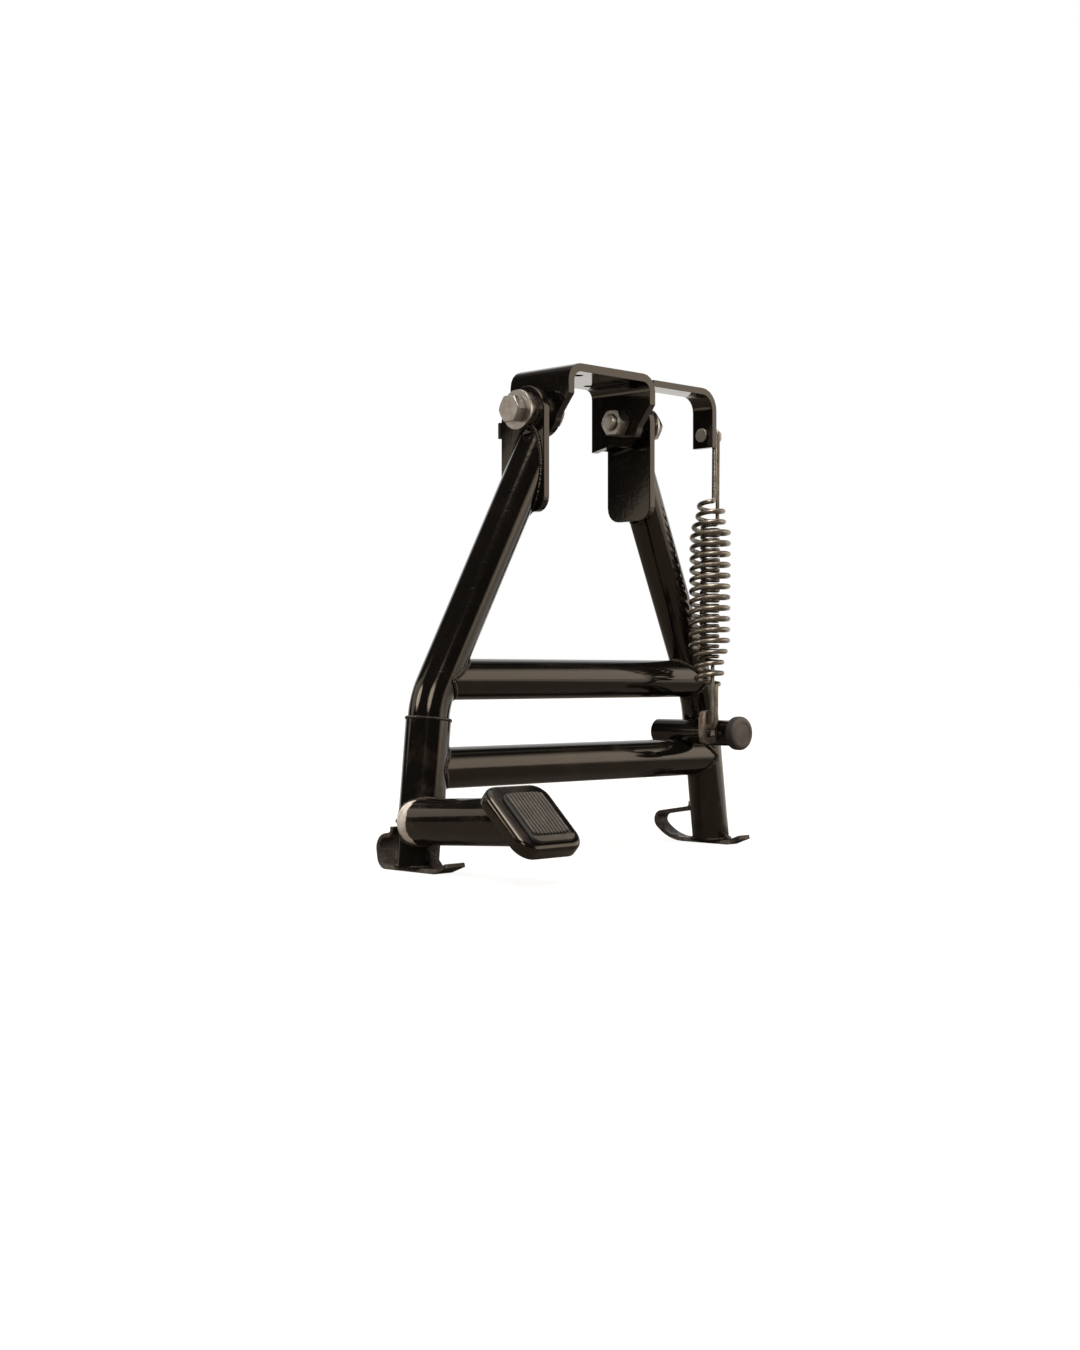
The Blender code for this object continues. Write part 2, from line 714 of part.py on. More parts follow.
def chamfer_cutter(name, low, high, matrix):
    """A turned blank that rounds a hexagon's corners at both ends."""
    corner = hex_across_flats / math.sqrt(3) + gap
    flat = hex_across_flats / 2 * 0.97
    drop = (corner - flat) * 0.5
    mesh = turned(name, [(0, high), (flat, high), (corner, high - drop), (corner, low + drop), (flat, low), (0, low)])
    mesh.transform(matrix)
    return cutter(mesh, name)


def build_pivot_fasteners():
    """Shoulder bolt from outside, washer under its head, nut inside the bracket."""
    for side, name in ((1, "right"), (-1, "left")):
        outward = Matrix.Scale(side, 4, (1, 0, 0)) if side > 0 else Matrix.Rotation(math.pi, 4, "Z")
        matrix = outward @ along_x(0)
        washer_low = bush_outer_x + gap
        washer_high = washer_low + washer_thickness
        hole = bolt_radius + gap
        ring = [(washer_radius, washer_high), (washer_radius, washer_low), (hole, washer_low), (hole, washer_high)]
        place(turned("washer", ring), f"{name}_washer", zinc_steel, matrix)
        head_low = washer_high + gap
        head_high = head_low + bolt_head_height
        tail = bracket_inner_x - nut_height - bolt_past_nut
        shoulder = bracket_inner_x + gap
        shank = [(0, head_low + 0.001), (bolt_radius, head_low + 0.001), (bolt_radius, shoulder)]
        shank += [(thread_radius, shoulder), (thread_radius, tail + 0.001), (thread_radius - 0.001, tail), (0, tail)]
        bolt = place(hexagon_mesh("bolt", head_low, head_high), f"{name}_pivot_bolt", zinc_steel, matrix)
        combine(bolt, chamfer_cutter(f"{name}_head_blank", head_low - 0.002, head_high, matrix), "INTERSECT")
        shank_mesh = turned("shank", shank)
        shank_mesh.transform(matrix)
        combine(bolt, cutter(shank_mesh, f"{name}_shank"), "UNION")
        nut_high = bracket_inner_x - gap
        nut_low = nut_high - nut_height
        nut = place(hexagon_mesh("nut", nut_low, nut_high), f"{name}_pivot_nut", zinc_steel, matrix)
        combine(nut, chamfer_cutter(f"{name}_nut_blank", nut_low, nut_high, matrix), "INTERSECT")
        thread = thread_radius + gap
        bore = [(0, nut_high + 0.01), (thread, nut_high + 0.01), (thread, nut_low - 0.01), (0, nut_low - 0.01)]
        bore_mesh = turned("nut_bore", bore)
        bore_mesh.transform(matrix)
        combine(nut, cutter(bore_mesh, f"{name}_nut_bore"))


def build_bracket():
    """A pressed U whose two flanges hold the bolts and whose web bolts up to the frame."""
    half = bracket_thickness / 2
    outer = bracket_outer_x - half
    top = bracket_height - half
    bottom = -bracket_boss_radius - 0.002
    path = [(-outer, bottom), (-outer, top), (outer, top), (outer, bottom)]
    path = [tuple(p) for p in filleted([(*p, 0) for p in path], bracket_bend_radius, 5)]
    outline = strip_outline([p[:2] for p in path], bracket_thickness)
    mesh = mesh_of(plate_curve("bracket", [outline], bracket_half_width * 2), front_view(0))
    bracket = place(mesh, "mounting_bracket", gloss_black)
    wide = bracket_half_width
    side = (
        [(wide + gap, bracket_height + 0.01), (-wide - gap, bracket_height + 0.01), (-wide - gap, 0.012)]
        + arc((0, 0), bracket_boss_radius, 190, 300, 12)
        + [(wide + gap, -stop_drop - stop_height - 0.002)]
    )
    profile = mesh_of(plate_curve("side", [side], 0.2), side_view(0))
    combine(bracket, cutter(profile, "bracket_side"), "INTERSECT")
    hole = bolt_radius + gap
    bore = turned("bolt_hole", [(0, 0.1), (hole, 0.1), (hole, -0.1), (0, -0.1)])
    bore.transform(along_x(0))
    combine(bracket, cutter(bore, "bracket_bolt_hole"))
    for i, x in enumerate((-bracket_hole_x, bracket_hole_x)):
        for j, y in enumerate((-bracket_hole_y, bracket_hole_y)):
            low, high = bracket_height - 0.03, bracket_height + 0.01
            radius = bracket_hole_radius
            drill = turned("drill", [(0, high), (radius, high), (radius, low), (0, low)], 20)
            drill.transform(Matrix.Translation((x, y, 0)))
            combine(bracket, cutter(drill, f"bracket_hole_{i}{j}"))


def build_stops():
    """Blocks on the bracket's flanges that the plates' front edges rest against when the stand is down."""
    low_z = -stop_drop - stop_height
    for side, name in ((1, "right"), (-1, "left")):
        inner, outer = sorted((side * (bracket_outer_x + gap), side * plate_outer_x))
        low = (inner, stop_front, low_z)
        high = (outer, stop_front + stop_depth, low_z + stop_height)
        place(box_mesh(name, low, high), f"{name}_stop_block", gloss_black)


def build_hanger():
    """A bent strip from the bracket's right flange that carries the springs' upper pin."""
    half = hanger_thickness / 2
    drop_x = hanger_pin_x - hook_side_offset - outer_wire_radius - hook_side_clearance - half
    start = bracket_outer_x + gap
    corners = [(start, hanger_rise, 0), (drop_x, hanger_rise, 0), (drop_x, hanger_pin_z - hanger_drop, 0)]
    path = [tuple(p)[:2] for p in filleted(corners, hanger_bend_radius, 6)]
    outline = strip_outline(path, hanger_thickness)
    mesh = mesh_of(plate_curve("hanger", [outline], hanger_width), front_view(hanger_pin_y))
    hanger = place(mesh, "spring_hanger", gloss_black)
    hole = hanger_pin_radius + gap
    bore = turned("pin_hole", [(0, 0.02), (hole, 0.02), (hole, -0.02), (0, -0.02)], 20)
    bore.transform(along_x(drop_x, hanger_pin_y, hanger_pin_z))
    combine(hanger, cutter(bore, "hanger_pin_hole"))
    low = drop_x - half - gap - hanger_pin_head
    high = hanger_pin_x + hook_side_offset + inner_wire_radius + hook_side_clearance
    top = high + hanger_pin_head
    head, radius = hanger_pin_head_radius, hanger_pin_radius
    pin = [(0, top), (head, top), (head, high), (radius, high), (radius, drop_x - half - gap)]
    pin += [(head, drop_x - half - gap), (head, low), (0, low)]
    place(turned("pin", pin, 20), "hanger_pin", zinc_steel, along_x(0, hanger_pin_y, hanger_pin_z))


def hook_points(side_x, top):
    """One hook, from its straight shank round to its free end; top is +1 up or -1 down."""
    points = arc((0, 0), hook_radius, 180, 360, 10) + [(hook_radius, hook_radius * 0.9)]
    return [(side_x, y, top * -z) for y, z in points]


def spring_points(length, coil_radius, end_radius, turns, coil_start, coil_end, side_x):
    """A tension spring from its lower hook to its upper hook; the pins are at z = -length and 0.

    The lower shank is at side_x and the upper one opposite, so the wire never crosses the other spring's shanks.
    """
    low, high = -length + coil_start, -coil_end
    first_angle = math.atan2(-hook_radius, side_x + shank_turn)
    last_angle = math.atan2(-hook_radius, -side_x - shank_turn) + 2 * math.pi * turns
    first_radius = math.hypot(side_x + shank_turn, hook_radius)
    count = turns * 10
    coil = []
    for i in range(count + 1):
        share = i / count
        turns_in = min(share, 1 - share) * turns
        grown = min(max((turns_in - 1.0) / 1.6, 0), 1)
        radius = end_radius + (coil_radius - end_radius) * (3 - 2 * grown) * grown**2
        radius = first_radius + (radius - first_radius) * min(turns_in / 0.5, 1)
        angle = first_angle + (last_angle - first_angle) * share
        coil.append((radius * math.cos(angle), radius * math.sin(angle), low + (high - low) * share))
    lower = [(x, y, z - length) for x, y, z in hook_points(side_x, -1)]
    lower = lower[::-1] + [(side_x, -hook_radius, low - shank_turn)]
    lower += [(side_x + shank_turn * 0.3, -hook_radius, low - shank_turn * 0.3)]
    upper = [(-side_x - shank_turn * 0.3, -hook_radius, high + shank_turn * 0.3)]
    upper += [(-side_x, -hook_radius, high + shank_turn)] + hook_points(-side_x, 1)
    return lower + coil + upper


def build_springs(anchor):
    """Two springs, one inside the other, hooked from the tab's slot to the hanger's pin."""
    pin = Vector((hanger_pin_x, hanger_pin_y, hanger_pin_z))
    lowest = anchor + Vector((0, 0, hook_radius))
    up = (pin - lowest).normalized()
    right = (Vector((1, 0, 0)) - up * up.x).normalized()
    frame = Matrix((right, up.cross(right), up)).transposed().to_4x4()
    matrix = Matrix.Translation(pin) @ frame
    spring_axis.matrix_world = Matrix.Translation(pin)
    bpy.context.view_layer.update()
    length = (pin - lowest).length
    springs = (
        ("outer_spring", outer_wire_radius, outer_coil_radius, outer_end_radius, outer_turns, outer_coil_start,
         outer_coil_end, hook_side_offset),
        ("inner_spring", inner_wire_radius, inner_coil_radius, inner_coil_radius, inner_turns,
         outer_coil_start + inner_coil_inset, outer_coil_end + inner_coil_inset, -hook_side_offset),
    )
    for name, wire, coil, end, turns, start, finish, side_x in springs:
        points = spring_points(length, coil, end, turns, start, finish, side_x)
        place(tube_curve(name, points, wire, 2), name, spring_steel, matrix, spring_axis)


build_legs()
build_sleeve()
build_cross_tubes()
build_feet()
build_foot_post()
build_tang()
build_pedal()
build_pad()
anchor_slot = build_anchor(build_bumper())
build_pivot_plates()
build_pivot_fasteners()
build_bracket()
build_stops()
build_hanger()
build_springs(anchor_slot)
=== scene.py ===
# A motorcycle centre stand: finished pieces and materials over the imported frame.
import math

import bmesh
import bpy
from mathutils import Matrix, Vector


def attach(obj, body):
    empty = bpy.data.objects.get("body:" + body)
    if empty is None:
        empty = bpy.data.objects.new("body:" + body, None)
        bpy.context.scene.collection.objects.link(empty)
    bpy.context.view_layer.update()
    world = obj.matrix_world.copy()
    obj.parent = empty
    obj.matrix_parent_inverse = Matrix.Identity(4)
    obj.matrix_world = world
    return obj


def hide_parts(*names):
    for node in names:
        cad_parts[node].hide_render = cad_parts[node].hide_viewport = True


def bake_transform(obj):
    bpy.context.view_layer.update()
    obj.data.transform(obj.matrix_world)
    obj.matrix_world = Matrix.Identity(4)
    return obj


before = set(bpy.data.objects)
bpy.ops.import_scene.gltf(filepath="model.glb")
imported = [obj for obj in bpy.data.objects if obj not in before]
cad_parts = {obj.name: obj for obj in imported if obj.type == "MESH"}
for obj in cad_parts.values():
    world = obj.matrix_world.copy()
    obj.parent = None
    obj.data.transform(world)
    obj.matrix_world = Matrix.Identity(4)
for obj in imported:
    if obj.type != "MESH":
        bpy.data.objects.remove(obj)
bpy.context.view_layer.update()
print("frame loaded:", len(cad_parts), "nodes")

# Where the tubes run, in metres. The swing axis is the origin and the ground is below it.
layout = {
    "ground": -0.326,
    "gap": 0.0003,
    "tubeRadius": 0.0146,
    "sleeveRadius": 0.0159,
    "footX": 0.1575,
    "kneeX": 0.1441,
    "kneeHeight": 0.117,
    "kneeRadius": 0.060,
    "kneeSteps": 20,
    "footY": 0.008,
    "kneeY": 0.010,
    "seatY": -0.0005,
    "seatHeight": 0.283,
    "plateFace": 0.060,
    "copeRadius": 0.0175,
    "sleeveTop": 0.10421,
    "tangHeight": 0.0342,
    "tangRise": math.radians(3.1),
    "tangOffset": 0.008,
    "upperCross": 0.132,
    "lowerCross": 0.070,
}
ground = layout["ground"]
gap = layout["gap"]


def placed(name, data):
    made = bpy.data.objects.new(name, data)
    bpy.context.scene.collection.objects.link(made)
    return made


def meshOf(name, shape):
    mesh = bpy.data.meshes.new(name)
    shape.to_mesh(mesh)
    shape.free()
    return mesh


# Level, at the rear left, and as far away as the tubes' widths in the picture say.
cameraSettings = {
    "place": (-1.0305, -0.9847, -0.191),
    "towards": (0.7071, 0.7071, 0.0),
    "lens": 51.01,
    "sensor": 36,
    "clipStart": 0.05,
}


def makeCamera():
    s = cameraSettings
    data = bpy.data.cameras.new("camera")
    data.lens = s["lens"]
    data.sensor_width = s["sensor"]
    data.clip_start = s["clipStart"]
    camera = placed("camera", data)
    camera.location = s["place"]
    camera.rotation_euler = Vector(s["towards"]).to_track_quat("-Z", "Y").to_euler()
    bpy.context.scene.camera = camera


makeCamera()
print("camera set")


# An output socket that can stand in a sum, so a mask reads as a plain expression.
class Wire:
    def __init__(self, recipe, socket):
        self.recipe = recipe
        self.socket = socket

    def sum(self, operation, other, swapped=False):
        pair = {0: other, 1: self} if swapped else {0: self, 1: other}
        return self.recipe.node("ShaderNodeMath", {"operation": operation}, pair)

    def __add__(self, other):
        return self.sum("ADD", other)

    def __sub__(self, other):
        return self.sum("SUBTRACT", other)

    def __mul__(self, other):
        return self.sum("MULTIPLY", other)

    def __truediv__(self, other):
        return self.sum("DIVIDE", other)

    def __pow__(self, other):
        return self.sum("POWER", other)

    def __rsub__(self, other):
        return self.sum("SUBTRACT", other, swapped=True)

    __radd__ = __add__
    __rmul__ = __mul__


# One material or world tree: every node comes from node(), with its settings set before its sockets.
class Recipe:
    def __init__(self, tree):
        self.tree = tree
        tree.nodes.clear()

    def node(self, kind, settings=None, sockets=None, out=0):
        made = self.tree.nodes.new(kind)
        for key, value in (settings or {}).items():
            setattr(made, key, value)
        for key, value in (sockets or {}).items():
            if isinstance(value, Wire):
                self.tree.links.new(value.socket, made.inputs[key])
            else:
                made.inputs[key].default_value = value
        return Wire(self, made.outputs[out]) if made.outputs else made

    def noise(self, place, scale, detail, rough, stretch=None):
        if stretch:
            place = self.node("ShaderNodeMapping", None, {"Vector": place, "Scale": stretch})
        wanted = {"Vector": place, "Scale": scale, "Detail": detail, "Roughness": rough}
        return self.node("ShaderNodeTexNoise", None, wanted)

    # A soft step from 0 below low to 1 above high.
    def step(self, value, low, high):
        settings = {"interpolation_type": "SMOOTHSTEP"}
        return self.node("ShaderNodeMapRange", settings, {"Value": value, "From Min": low, "From Max": high})

    # Soft-edged patches: a noise cut between two levels.
    def patches(self, place, scale, detail, rough, low, high, stretch=None):
        return self.step(self.noise(place, scale, detail, rough, stretch), low, high)

    def dot(self, first, second):
        return self.node("ShaderNodeVectorMath", {"operation": "DOT_PRODUCT"}, {0: first, 1: second}, out=1)

    # How far a place lies beyond a start, measured along a direction.
    def beyond(self, place, start, towards):
        offset = self.node("ShaderNodeVectorMath", {"operation": "SUBTRACT"}, {0: place, 1: tuple(start)})
        return self.dot(offset, tuple(towards))

    def mix(self, share, first, second):
        first = (*first, 1) if isinstance(first, tuple) else first
        second = (*second, 1) if isinstance(second, tuple) else second
        return self.node("ShaderNodeMix", {"data_type": "RGBA"}, {0: share, 6: first, 7: second}, out=2)

    def bump(self, height, strength, distance):
        return self.node("ShaderNodeBump", None, {"Height": height, "Strength": strength, "Distance": distance})

    def surface(self, **sockets):
        named = {name.replace("_", " "): value for name, value in sockets.items()}
        shader = self.node("ShaderNodeBsdfPrincipled", None, named)
        self.node("ShaderNodeOutputMaterial", None, {"Surface": shader})


def newRecipe(name):
    material = bpy.data.materials.new(name)
    material.use_nodes = True
    recipe = Recipe(material.node_tree)
    place = recipe.node("ShaderNodeTexCoord", None, None, out=3)
    return material, recipe, place


def heightOf(recipe, place):
    return recipe.node("ShaderNodeSeparateXYZ", None, {0: place}, out=2)


# Gloss black paint: faint orange peel, road dust low down and a few dull scratches along the tubes.
# Each noise is scale, detail and roughness, and patches add the two levels between which they come in.
paintSettings = {
    "black": (0.0042, 0.0036, 0.0031),
    "dust": (0.070, 0.050, 0.034),
    # The pale colour of the tang dome's patch: rubbed-bare steel, and a painted highlight.
    "bare": (0.70, 0.62, 0.55),
    "sheen": (1.0, 0.84, 0.68, 1),
    "dustHeights": (-0.330, -0.150),
    "cloud": (38, 6, 0.65, 0.48, 0.72),
    "speck": (420, 3, 0.6, 0.60, 0.74),
    "scratch": (60, 2, 0.5, 0.66, 0.74, (1.0, 1.0, 14.0)),
    "stain": (70, 5, 0.6, 0.40, 0.68),
    "peelNoise": (260, 2, 0.5),
    "flowNoise": (55, 2, 0.5),
    "edgeNoise": (110, 4, 0.6),
    "bareHighlightEdge": 0.0007,
    "roughness": 0.09,
    "peel": 0.05,
    "peelDepth": 0.0006,
}


# Bare gives the place and the direction beyond which the paint is rubbed off and painted pale as a highlight, and how
# far the edge wanders.
def paintMaterial(name, dustAmount=0.35, grime=0.0, bare=None):
    material, recipe, place = newRecipe(name)
    s = paintSettings
    low = 1 - recipe.step(heightOf(recipe, place), *s["dustHeights"])
    cloud = recipe.patches(place, *s["cloud"])
    speck = recipe.patches(place, *s["speck"])
    scratch = recipe.patches(place, *s["scratch"])
    dust = (cloud * (low * 0.8 + 0.12) + speck * 0.25) * dustAmount + cloud * grime
    colour = recipe.mix(dust, s["black"], s["dust"])
    rough = dust * 0.5 + scratch * 0.12 + s["roughness"]
    if bare:
        start, towards, wander = bare
        along = recipe.beyond(place, start, towards) + (recipe.noise(place, *s["edgeNoise"]) - 0.5) * wander
        # The patch is rubbed bare and also painted pale as a highlight on the dome.
        rubbedAndHighlight = recipe.step(along, -s["bareHighlightEdge"], s["bareHighlightEdge"])
        bareHighlightColour = recipe.mix(recipe.patches(place, *s["stain"]) * 0.45, s["bare"], s["dust"])
        colour = recipe.mix(rubbedAndHighlight, colour, bareHighlightColour)
        rough = rough + rubbedAndHighlight * 0.30
    peel = recipe.noise(place, *s["peelNoise"]) + recipe.noise(place, *s["flowNoise"]) * 1.5
    recipe.surface(
        Base_Color=colour,
        Roughness=rough,
        Specular_Tint=s["sheen"],
        Normal=recipe.bump(peel, s["peel"], s["peelDepth"]),
    )
    return material


# The runners: black paint worn through to brown rust, and bare steel on the sole.
footSettings = {
    "paint": (0.008, 0.007, 0.0065),
    "rust": (0.145, 0.068, 0.032),
    "steel": (0.24, 0.20, 0.165),
    "patch": (95, 7, 0.7, 0.40, 0.52),
    "fine": (520, 5, 0.7, 0.45, 0.68),
    "soleHeights": (0.0015, 0.0045),
    "pits": 0.35,
    "pitDepth": 0.0004,
}


def footMaterial():
    material, recipe, place = newRecipe("wornFoot")
    s = footSettings
    patch = recipe.patches(place, *s["patch"])
    fine = recipe.patches(place, *s["fine"])
    sole = 1 - recipe.step(heightOf(recipe, place), *(ground + height for height in s["soleHeights"]))
    rust = recipe.mix(fine * 0.85, s["paint"], s["rust"])
    colour = recipe.mix(patch, s["paint"], rust)
    bare = sole * (fine * 0.5 + 0.4)
    recipe.surface(
        Base_Color=recipe.mix(bare, colour, s["steel"]),
        Roughness=0.30 + patch * 0.30 + fine * 0.12,
        Metallic=bare * 0.9,
        Coat_Weight=(1 - patch) * 0.6,
        Coat_Roughness=0.12,
        Normal=recipe.bump(fine + patch * 1.5, s["pits"], s["pitDepth"]),
    )
    return material


# Plated steel with a warm, slightly stained surface. Each kind is its colour, its stain's colour, its roughness and
# the stain's amount.
platedSettings = {
    "cloud": (120, 6, 0.65, 0.42, 0.72),
    "grain": (900, 3, 0.6),
    "pits": 0.12,
    "pitDepth": 0.0002,
    "zinc": ((0.40, 0.375, 0.34), (0.20, 0.13, 0.08), 0.24, 0.55),
    "anchor": ((0.38, 0.34, 0.29), (0.20, 0.075, 0.035), 0.26, 0.9),
    "outer": ((0.25, 0.215, 0.175), (0.075, 0.054, 0.036), 0.30, 0.7),
    # The inner spring is darker for dirt and as painted shade, where the outer coils shade it.
    "inner": ((0.20, 0.17, 0.135), (0.06, 0.044, 0.030), 0.32, 0.7),
}


def platedMaterial(name, colour, stain, roughness, stainAmount):
    material, recipe, place = newRecipe(name)
    s = platedSettings
    cloud = recipe.patches(place, *s["cloud"])
    grain = recipe.noise(place, *s["grain"])
    recipe.surface(
        Base_Color=recipe.mix(cloud * stainAmount, colour, stain),
        Metallic=1 - cloud * stainAmount * 0.5,
        Roughness=roughness + cloud * 0.22 + grain * 0.10,
        Normal=recipe.bump(grain, s["pits"], s["pitDepth"]),
    )
    return material


# Moulded rubber, dull with a fine grain and paler beyond a given distance: rubbed wear on the buffer, rubbed wear and
# a painted highlight on the pad.
rubberSettings = {
    "base": (0.014, 0.0115, 0.0095),
    # The paler colour: rubbed wear, and on the pad a painted highlight too.
    "rubbedAndHighlight": (0.098, 0.076, 0.058),
    "cloud": (70, 5, 0.6, 0.35, 0.75),
    "grain": (1600, 2, 0.6),
    "pits": 0.25,
    "pitDepth": 0.0002,
}


# The last argument gives a point, a direction and the two distances along it between which the paler colour comes in.
def rubberMaterial(name, rubbedAndHighlightAmount, wearAndHighlight):
    material, recipe, place = newRecipe(name)
    s = rubberSettings
    start, towards, low, high = wearAndHighlight
    cloud = recipe.patches(place, *s["cloud"])
    rubbedAndHighlight = recipe.step(recipe.beyond(place, start, towards), low, high) * (cloud * 0.5 + 0.5)
    grain = recipe.noise(place, *s["grain"])
    recipe.surface(
        Base_Color=recipe.mix(rubbedAndHighlight * rubbedAndHighlightAmount, s["base"], s["rubbedAndHighlight"]),
        Roughness=0.62 + grain * 0.16 - rubbedAndHighlight * 0.08,
        Normal=recipe.bump(grain, s["pits"], s["pitDepth"]),
    )
    return material


gloss = paintMaterial("glossBlack")
glossWeld = paintMaterial("glossBlackWeld", dustAmount=0.7, grime=0.10)
wornFoot = footMaterial()
zinc = platedMaterial("zincSteel", *platedSettings["zinc"])
anchorSteel = platedMaterial("anchorSteel", *platedSettings["anchor"])
springSteel = platedMaterial("springSteel", *platedSettings["outer"])
# The inner spring's steel is darker: dirt, and painted shade from the outer coils.
innerSteel = platedMaterial("innerSteel", *platedSettings["inner"])
print("materials ready")


# Distances under which points merge or count as cut, and angles in degrees above which an edge is sharp or eased.
meshSettings = {
    "merge": 1e-6,
    "frameMerge": 2e-6,
    "axisMerge": 0.00001,
    "cutReach": 1e-7,
    "sharp": 40,
    "turnedSharp": 32,
    "cutSharp": 50,
    "flat": 0.8,
    "easeFrom": 35,
}


def leave(name, mesh, material, body, slot, *stoodFor):
    piece = placed(name, mesh)
    mesh.materials.clear()
    mesh.materials.append(material)
    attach(piece, body)
    if stoodFor:
        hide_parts(*stoodFor)


# The evaluated object as a plain mesh; the helper object goes away.
def bake(guide):
    graph = bpy.context.evaluated_depsgraph_get()
    mesh = bpy.data.meshes.new_from_object(guide.evaluated_get(graph))
    bpy.data.objects.remove(guide)
    return mesh


def tidied(mesh, sharp="sharp"):
    s = meshSettings
    shape = bmesh.new()
    shape.from_mesh(mesh)
    bmesh.ops.remove_doubles(shape, verts=shape.verts, dist=s["merge"])
    bmesh.ops.recalc_face_normals(shape, faces=shape.faces)
    shape.to_mesh(mesh)
    shape.free()
    mesh.shade_smooth()
    mesh.set_sharp_from_angle(angle=math.radians(s[sharp]))
    return mesh


def pathObject(name, paths, radii=None):
    curve = bpy.data.curves.new(name, "CURVE")
    curve.dimensions = "3D"
    for i, points in enumerate(paths):
        spline = curve.splines.new("POLY")
        spline.points.add(len(points) - 1)
        for point, at in zip(spline.points, points):
            point.co = (*at, 1)
            point.radius = radii[i] if radii else 1.0
    return placed(name, curve)


# A Geometry Nodes tree with named inputs; grow() gets the helper and the incoming geometry.
def growthTree(name, inputs, grow):
    tree = bpy.data.node_groups.new(name, "GeometryNodeTree")
    tree.interface.new_socket("Geometry", in_out="INPUT", socket_type="NodeSocketGeometry")
    tree.interface.new_socket("Geometry", in_out="OUTPUT", socket_type="NodeSocketGeometry")
    keys = {}
    for label, (kind, value) in inputs.items():
        socket = tree.interface.new_socket(label, in_out="INPUT", socket_type=kind)
        socket.default_value = value
        keys[label] = socket.identifier
    material = tree.interface.new_socket("Material", in_out="INPUT", socket_type="NodeSocketMaterial")
    keys["Material"] = material.identifier
    recipe = Recipe(tree)
    entry = tree.nodes.new("NodeGroupInput")
    wires = {socket.name: Wire(recipe, socket) for socket in entry.outputs if socket.name}
    grown = grow(recipe, wires)
    real = recipe.node("GeometryNodeRealizeInstances", None, {"Geometry": grown})
    dressed = recipe.node("GeometryNodeSetMaterial", None, {"Geometry": real, "Material": wires["Material"]})
    leaving = tree.nodes.new("NodeGroupOutput")
    tree.links.new(dressed.socket, leaving.inputs[0])
    return tree, keys


def grownMesh(guide, growth, material, **values):
    tree, keys = growth
    modifier = guide.modifiers.new("growth", "NODES")
    modifier.node_group = tree
    modifier[keys["Material"]] = material
    for label, value in values.items():
        modifier[keys[label]] = value
    guide.update_tag()
    bpy.context.view_layer.update()
    return bake(guide)


def growTube(recipe, wires):
    outline = {"Resolution": wires["Sides"], "Radius": wires["Radius"]}
    ring = recipe.node("GeometryNodeCurvePrimitiveCircle", None, outline)
    return recipe.node(
        "GeometryNodeCurveToMesh", None, {"Curve": wires["Geometry"], "Profile Curve": ring, "Fill Caps": True}
    )


tubeGrowth = growthTree(
    "tubeAlongPath", {"Radius": ("NodeSocketFloat", 0.01), "Sides": ("NodeSocketInt", 48)}, growTube
)


def tubeMesh(name, points, radius, sides, material=gloss):
    return tidied(grownMesh(pathObject(name, [points]), tubeGrowth, material, Radius=radius, Sides=sides))


# Cuts a mesh with a plane, throws away the side that the normal points to and closes the cut. With a wall, the
# closed end becomes a tube's open end, hollow to the depth.
def cutOff(mesh, point, normal, wall=None, depth=None):
    shape = bmesh.new()
    shape.from_mesh(mesh)
    everything = shape.verts[:] + shape.edges[:] + shape.faces[:]
    cut = bmesh.ops.bisect_plane(
        shape, geom=everything, plane_co=point, plane_no=normal, clear_outer=True, dist=meshSettings["cutReach"]
    )
    rim = [e for e in cut["geom_cut"] if isinstance(e, bmesh.types.BMEdge)]
    lids = bmesh.ops.contextual_create(shape, geom=rim)["faces"]
    if wall:
        bmesh.ops.inset_region(shape, faces=lids, thickness=wall, use_even_offset=True)
        pushed = bmesh.ops.extrude_face_region(shape, geom=lids)
        moved = [v for v in pushed["geom"] if isinstance(v, bmesh.types.BMVert)]
        bmesh.ops.translate(shape, verts=moved, vec=-Vector(normal).normalized() * depth)
        bmesh.ops.delete(shape, geom=[f for f in lids if f.is_valid], context="FACES_ONLY")
    bmesh.ops.recalc_face_normals(shape, faces=shape.faces)
    shape.to_mesh(mesh)
    shape.free()
    return mesh


# The first mesh with the second one cut out of it.
def carved(mesh, away):
    guide, knife = placed("carved", mesh), placed("knife", away)
    cut = guide.modifiers.new("cut", "BOOLEAN")
    cut.operation = "DIFFERENCE"
    cut.solver = "EXACT"
    cut.object = knife
    done = bake(guide)
    bpy.data.objects.remove(knife)
    return done


# A profile of radius and height pairs, from axis to axis, turned round the matrix's z axis.
def turnedMesh(name, profile, matrix, steps):
    mesh = bpy.data.meshes.new(name)
    edges = [(i, i + 1) for i in range(len(profile) - 1)]
    mesh.from_pydata([(r, 0, h) for r, h in profile], edges, [])
    guide = placed(name, mesh)
    turn = guide.modifiers.new("turn", "SCREW")
    turn.steps = turn.render_steps = steps
    turn.use_merge_vertices = True
    turn.merge_threshold = meshSettings["axisMerge"]
    solid = bake(guide)
    solid.transform(matrix)
    return tidied(solid, "turnedSharp")


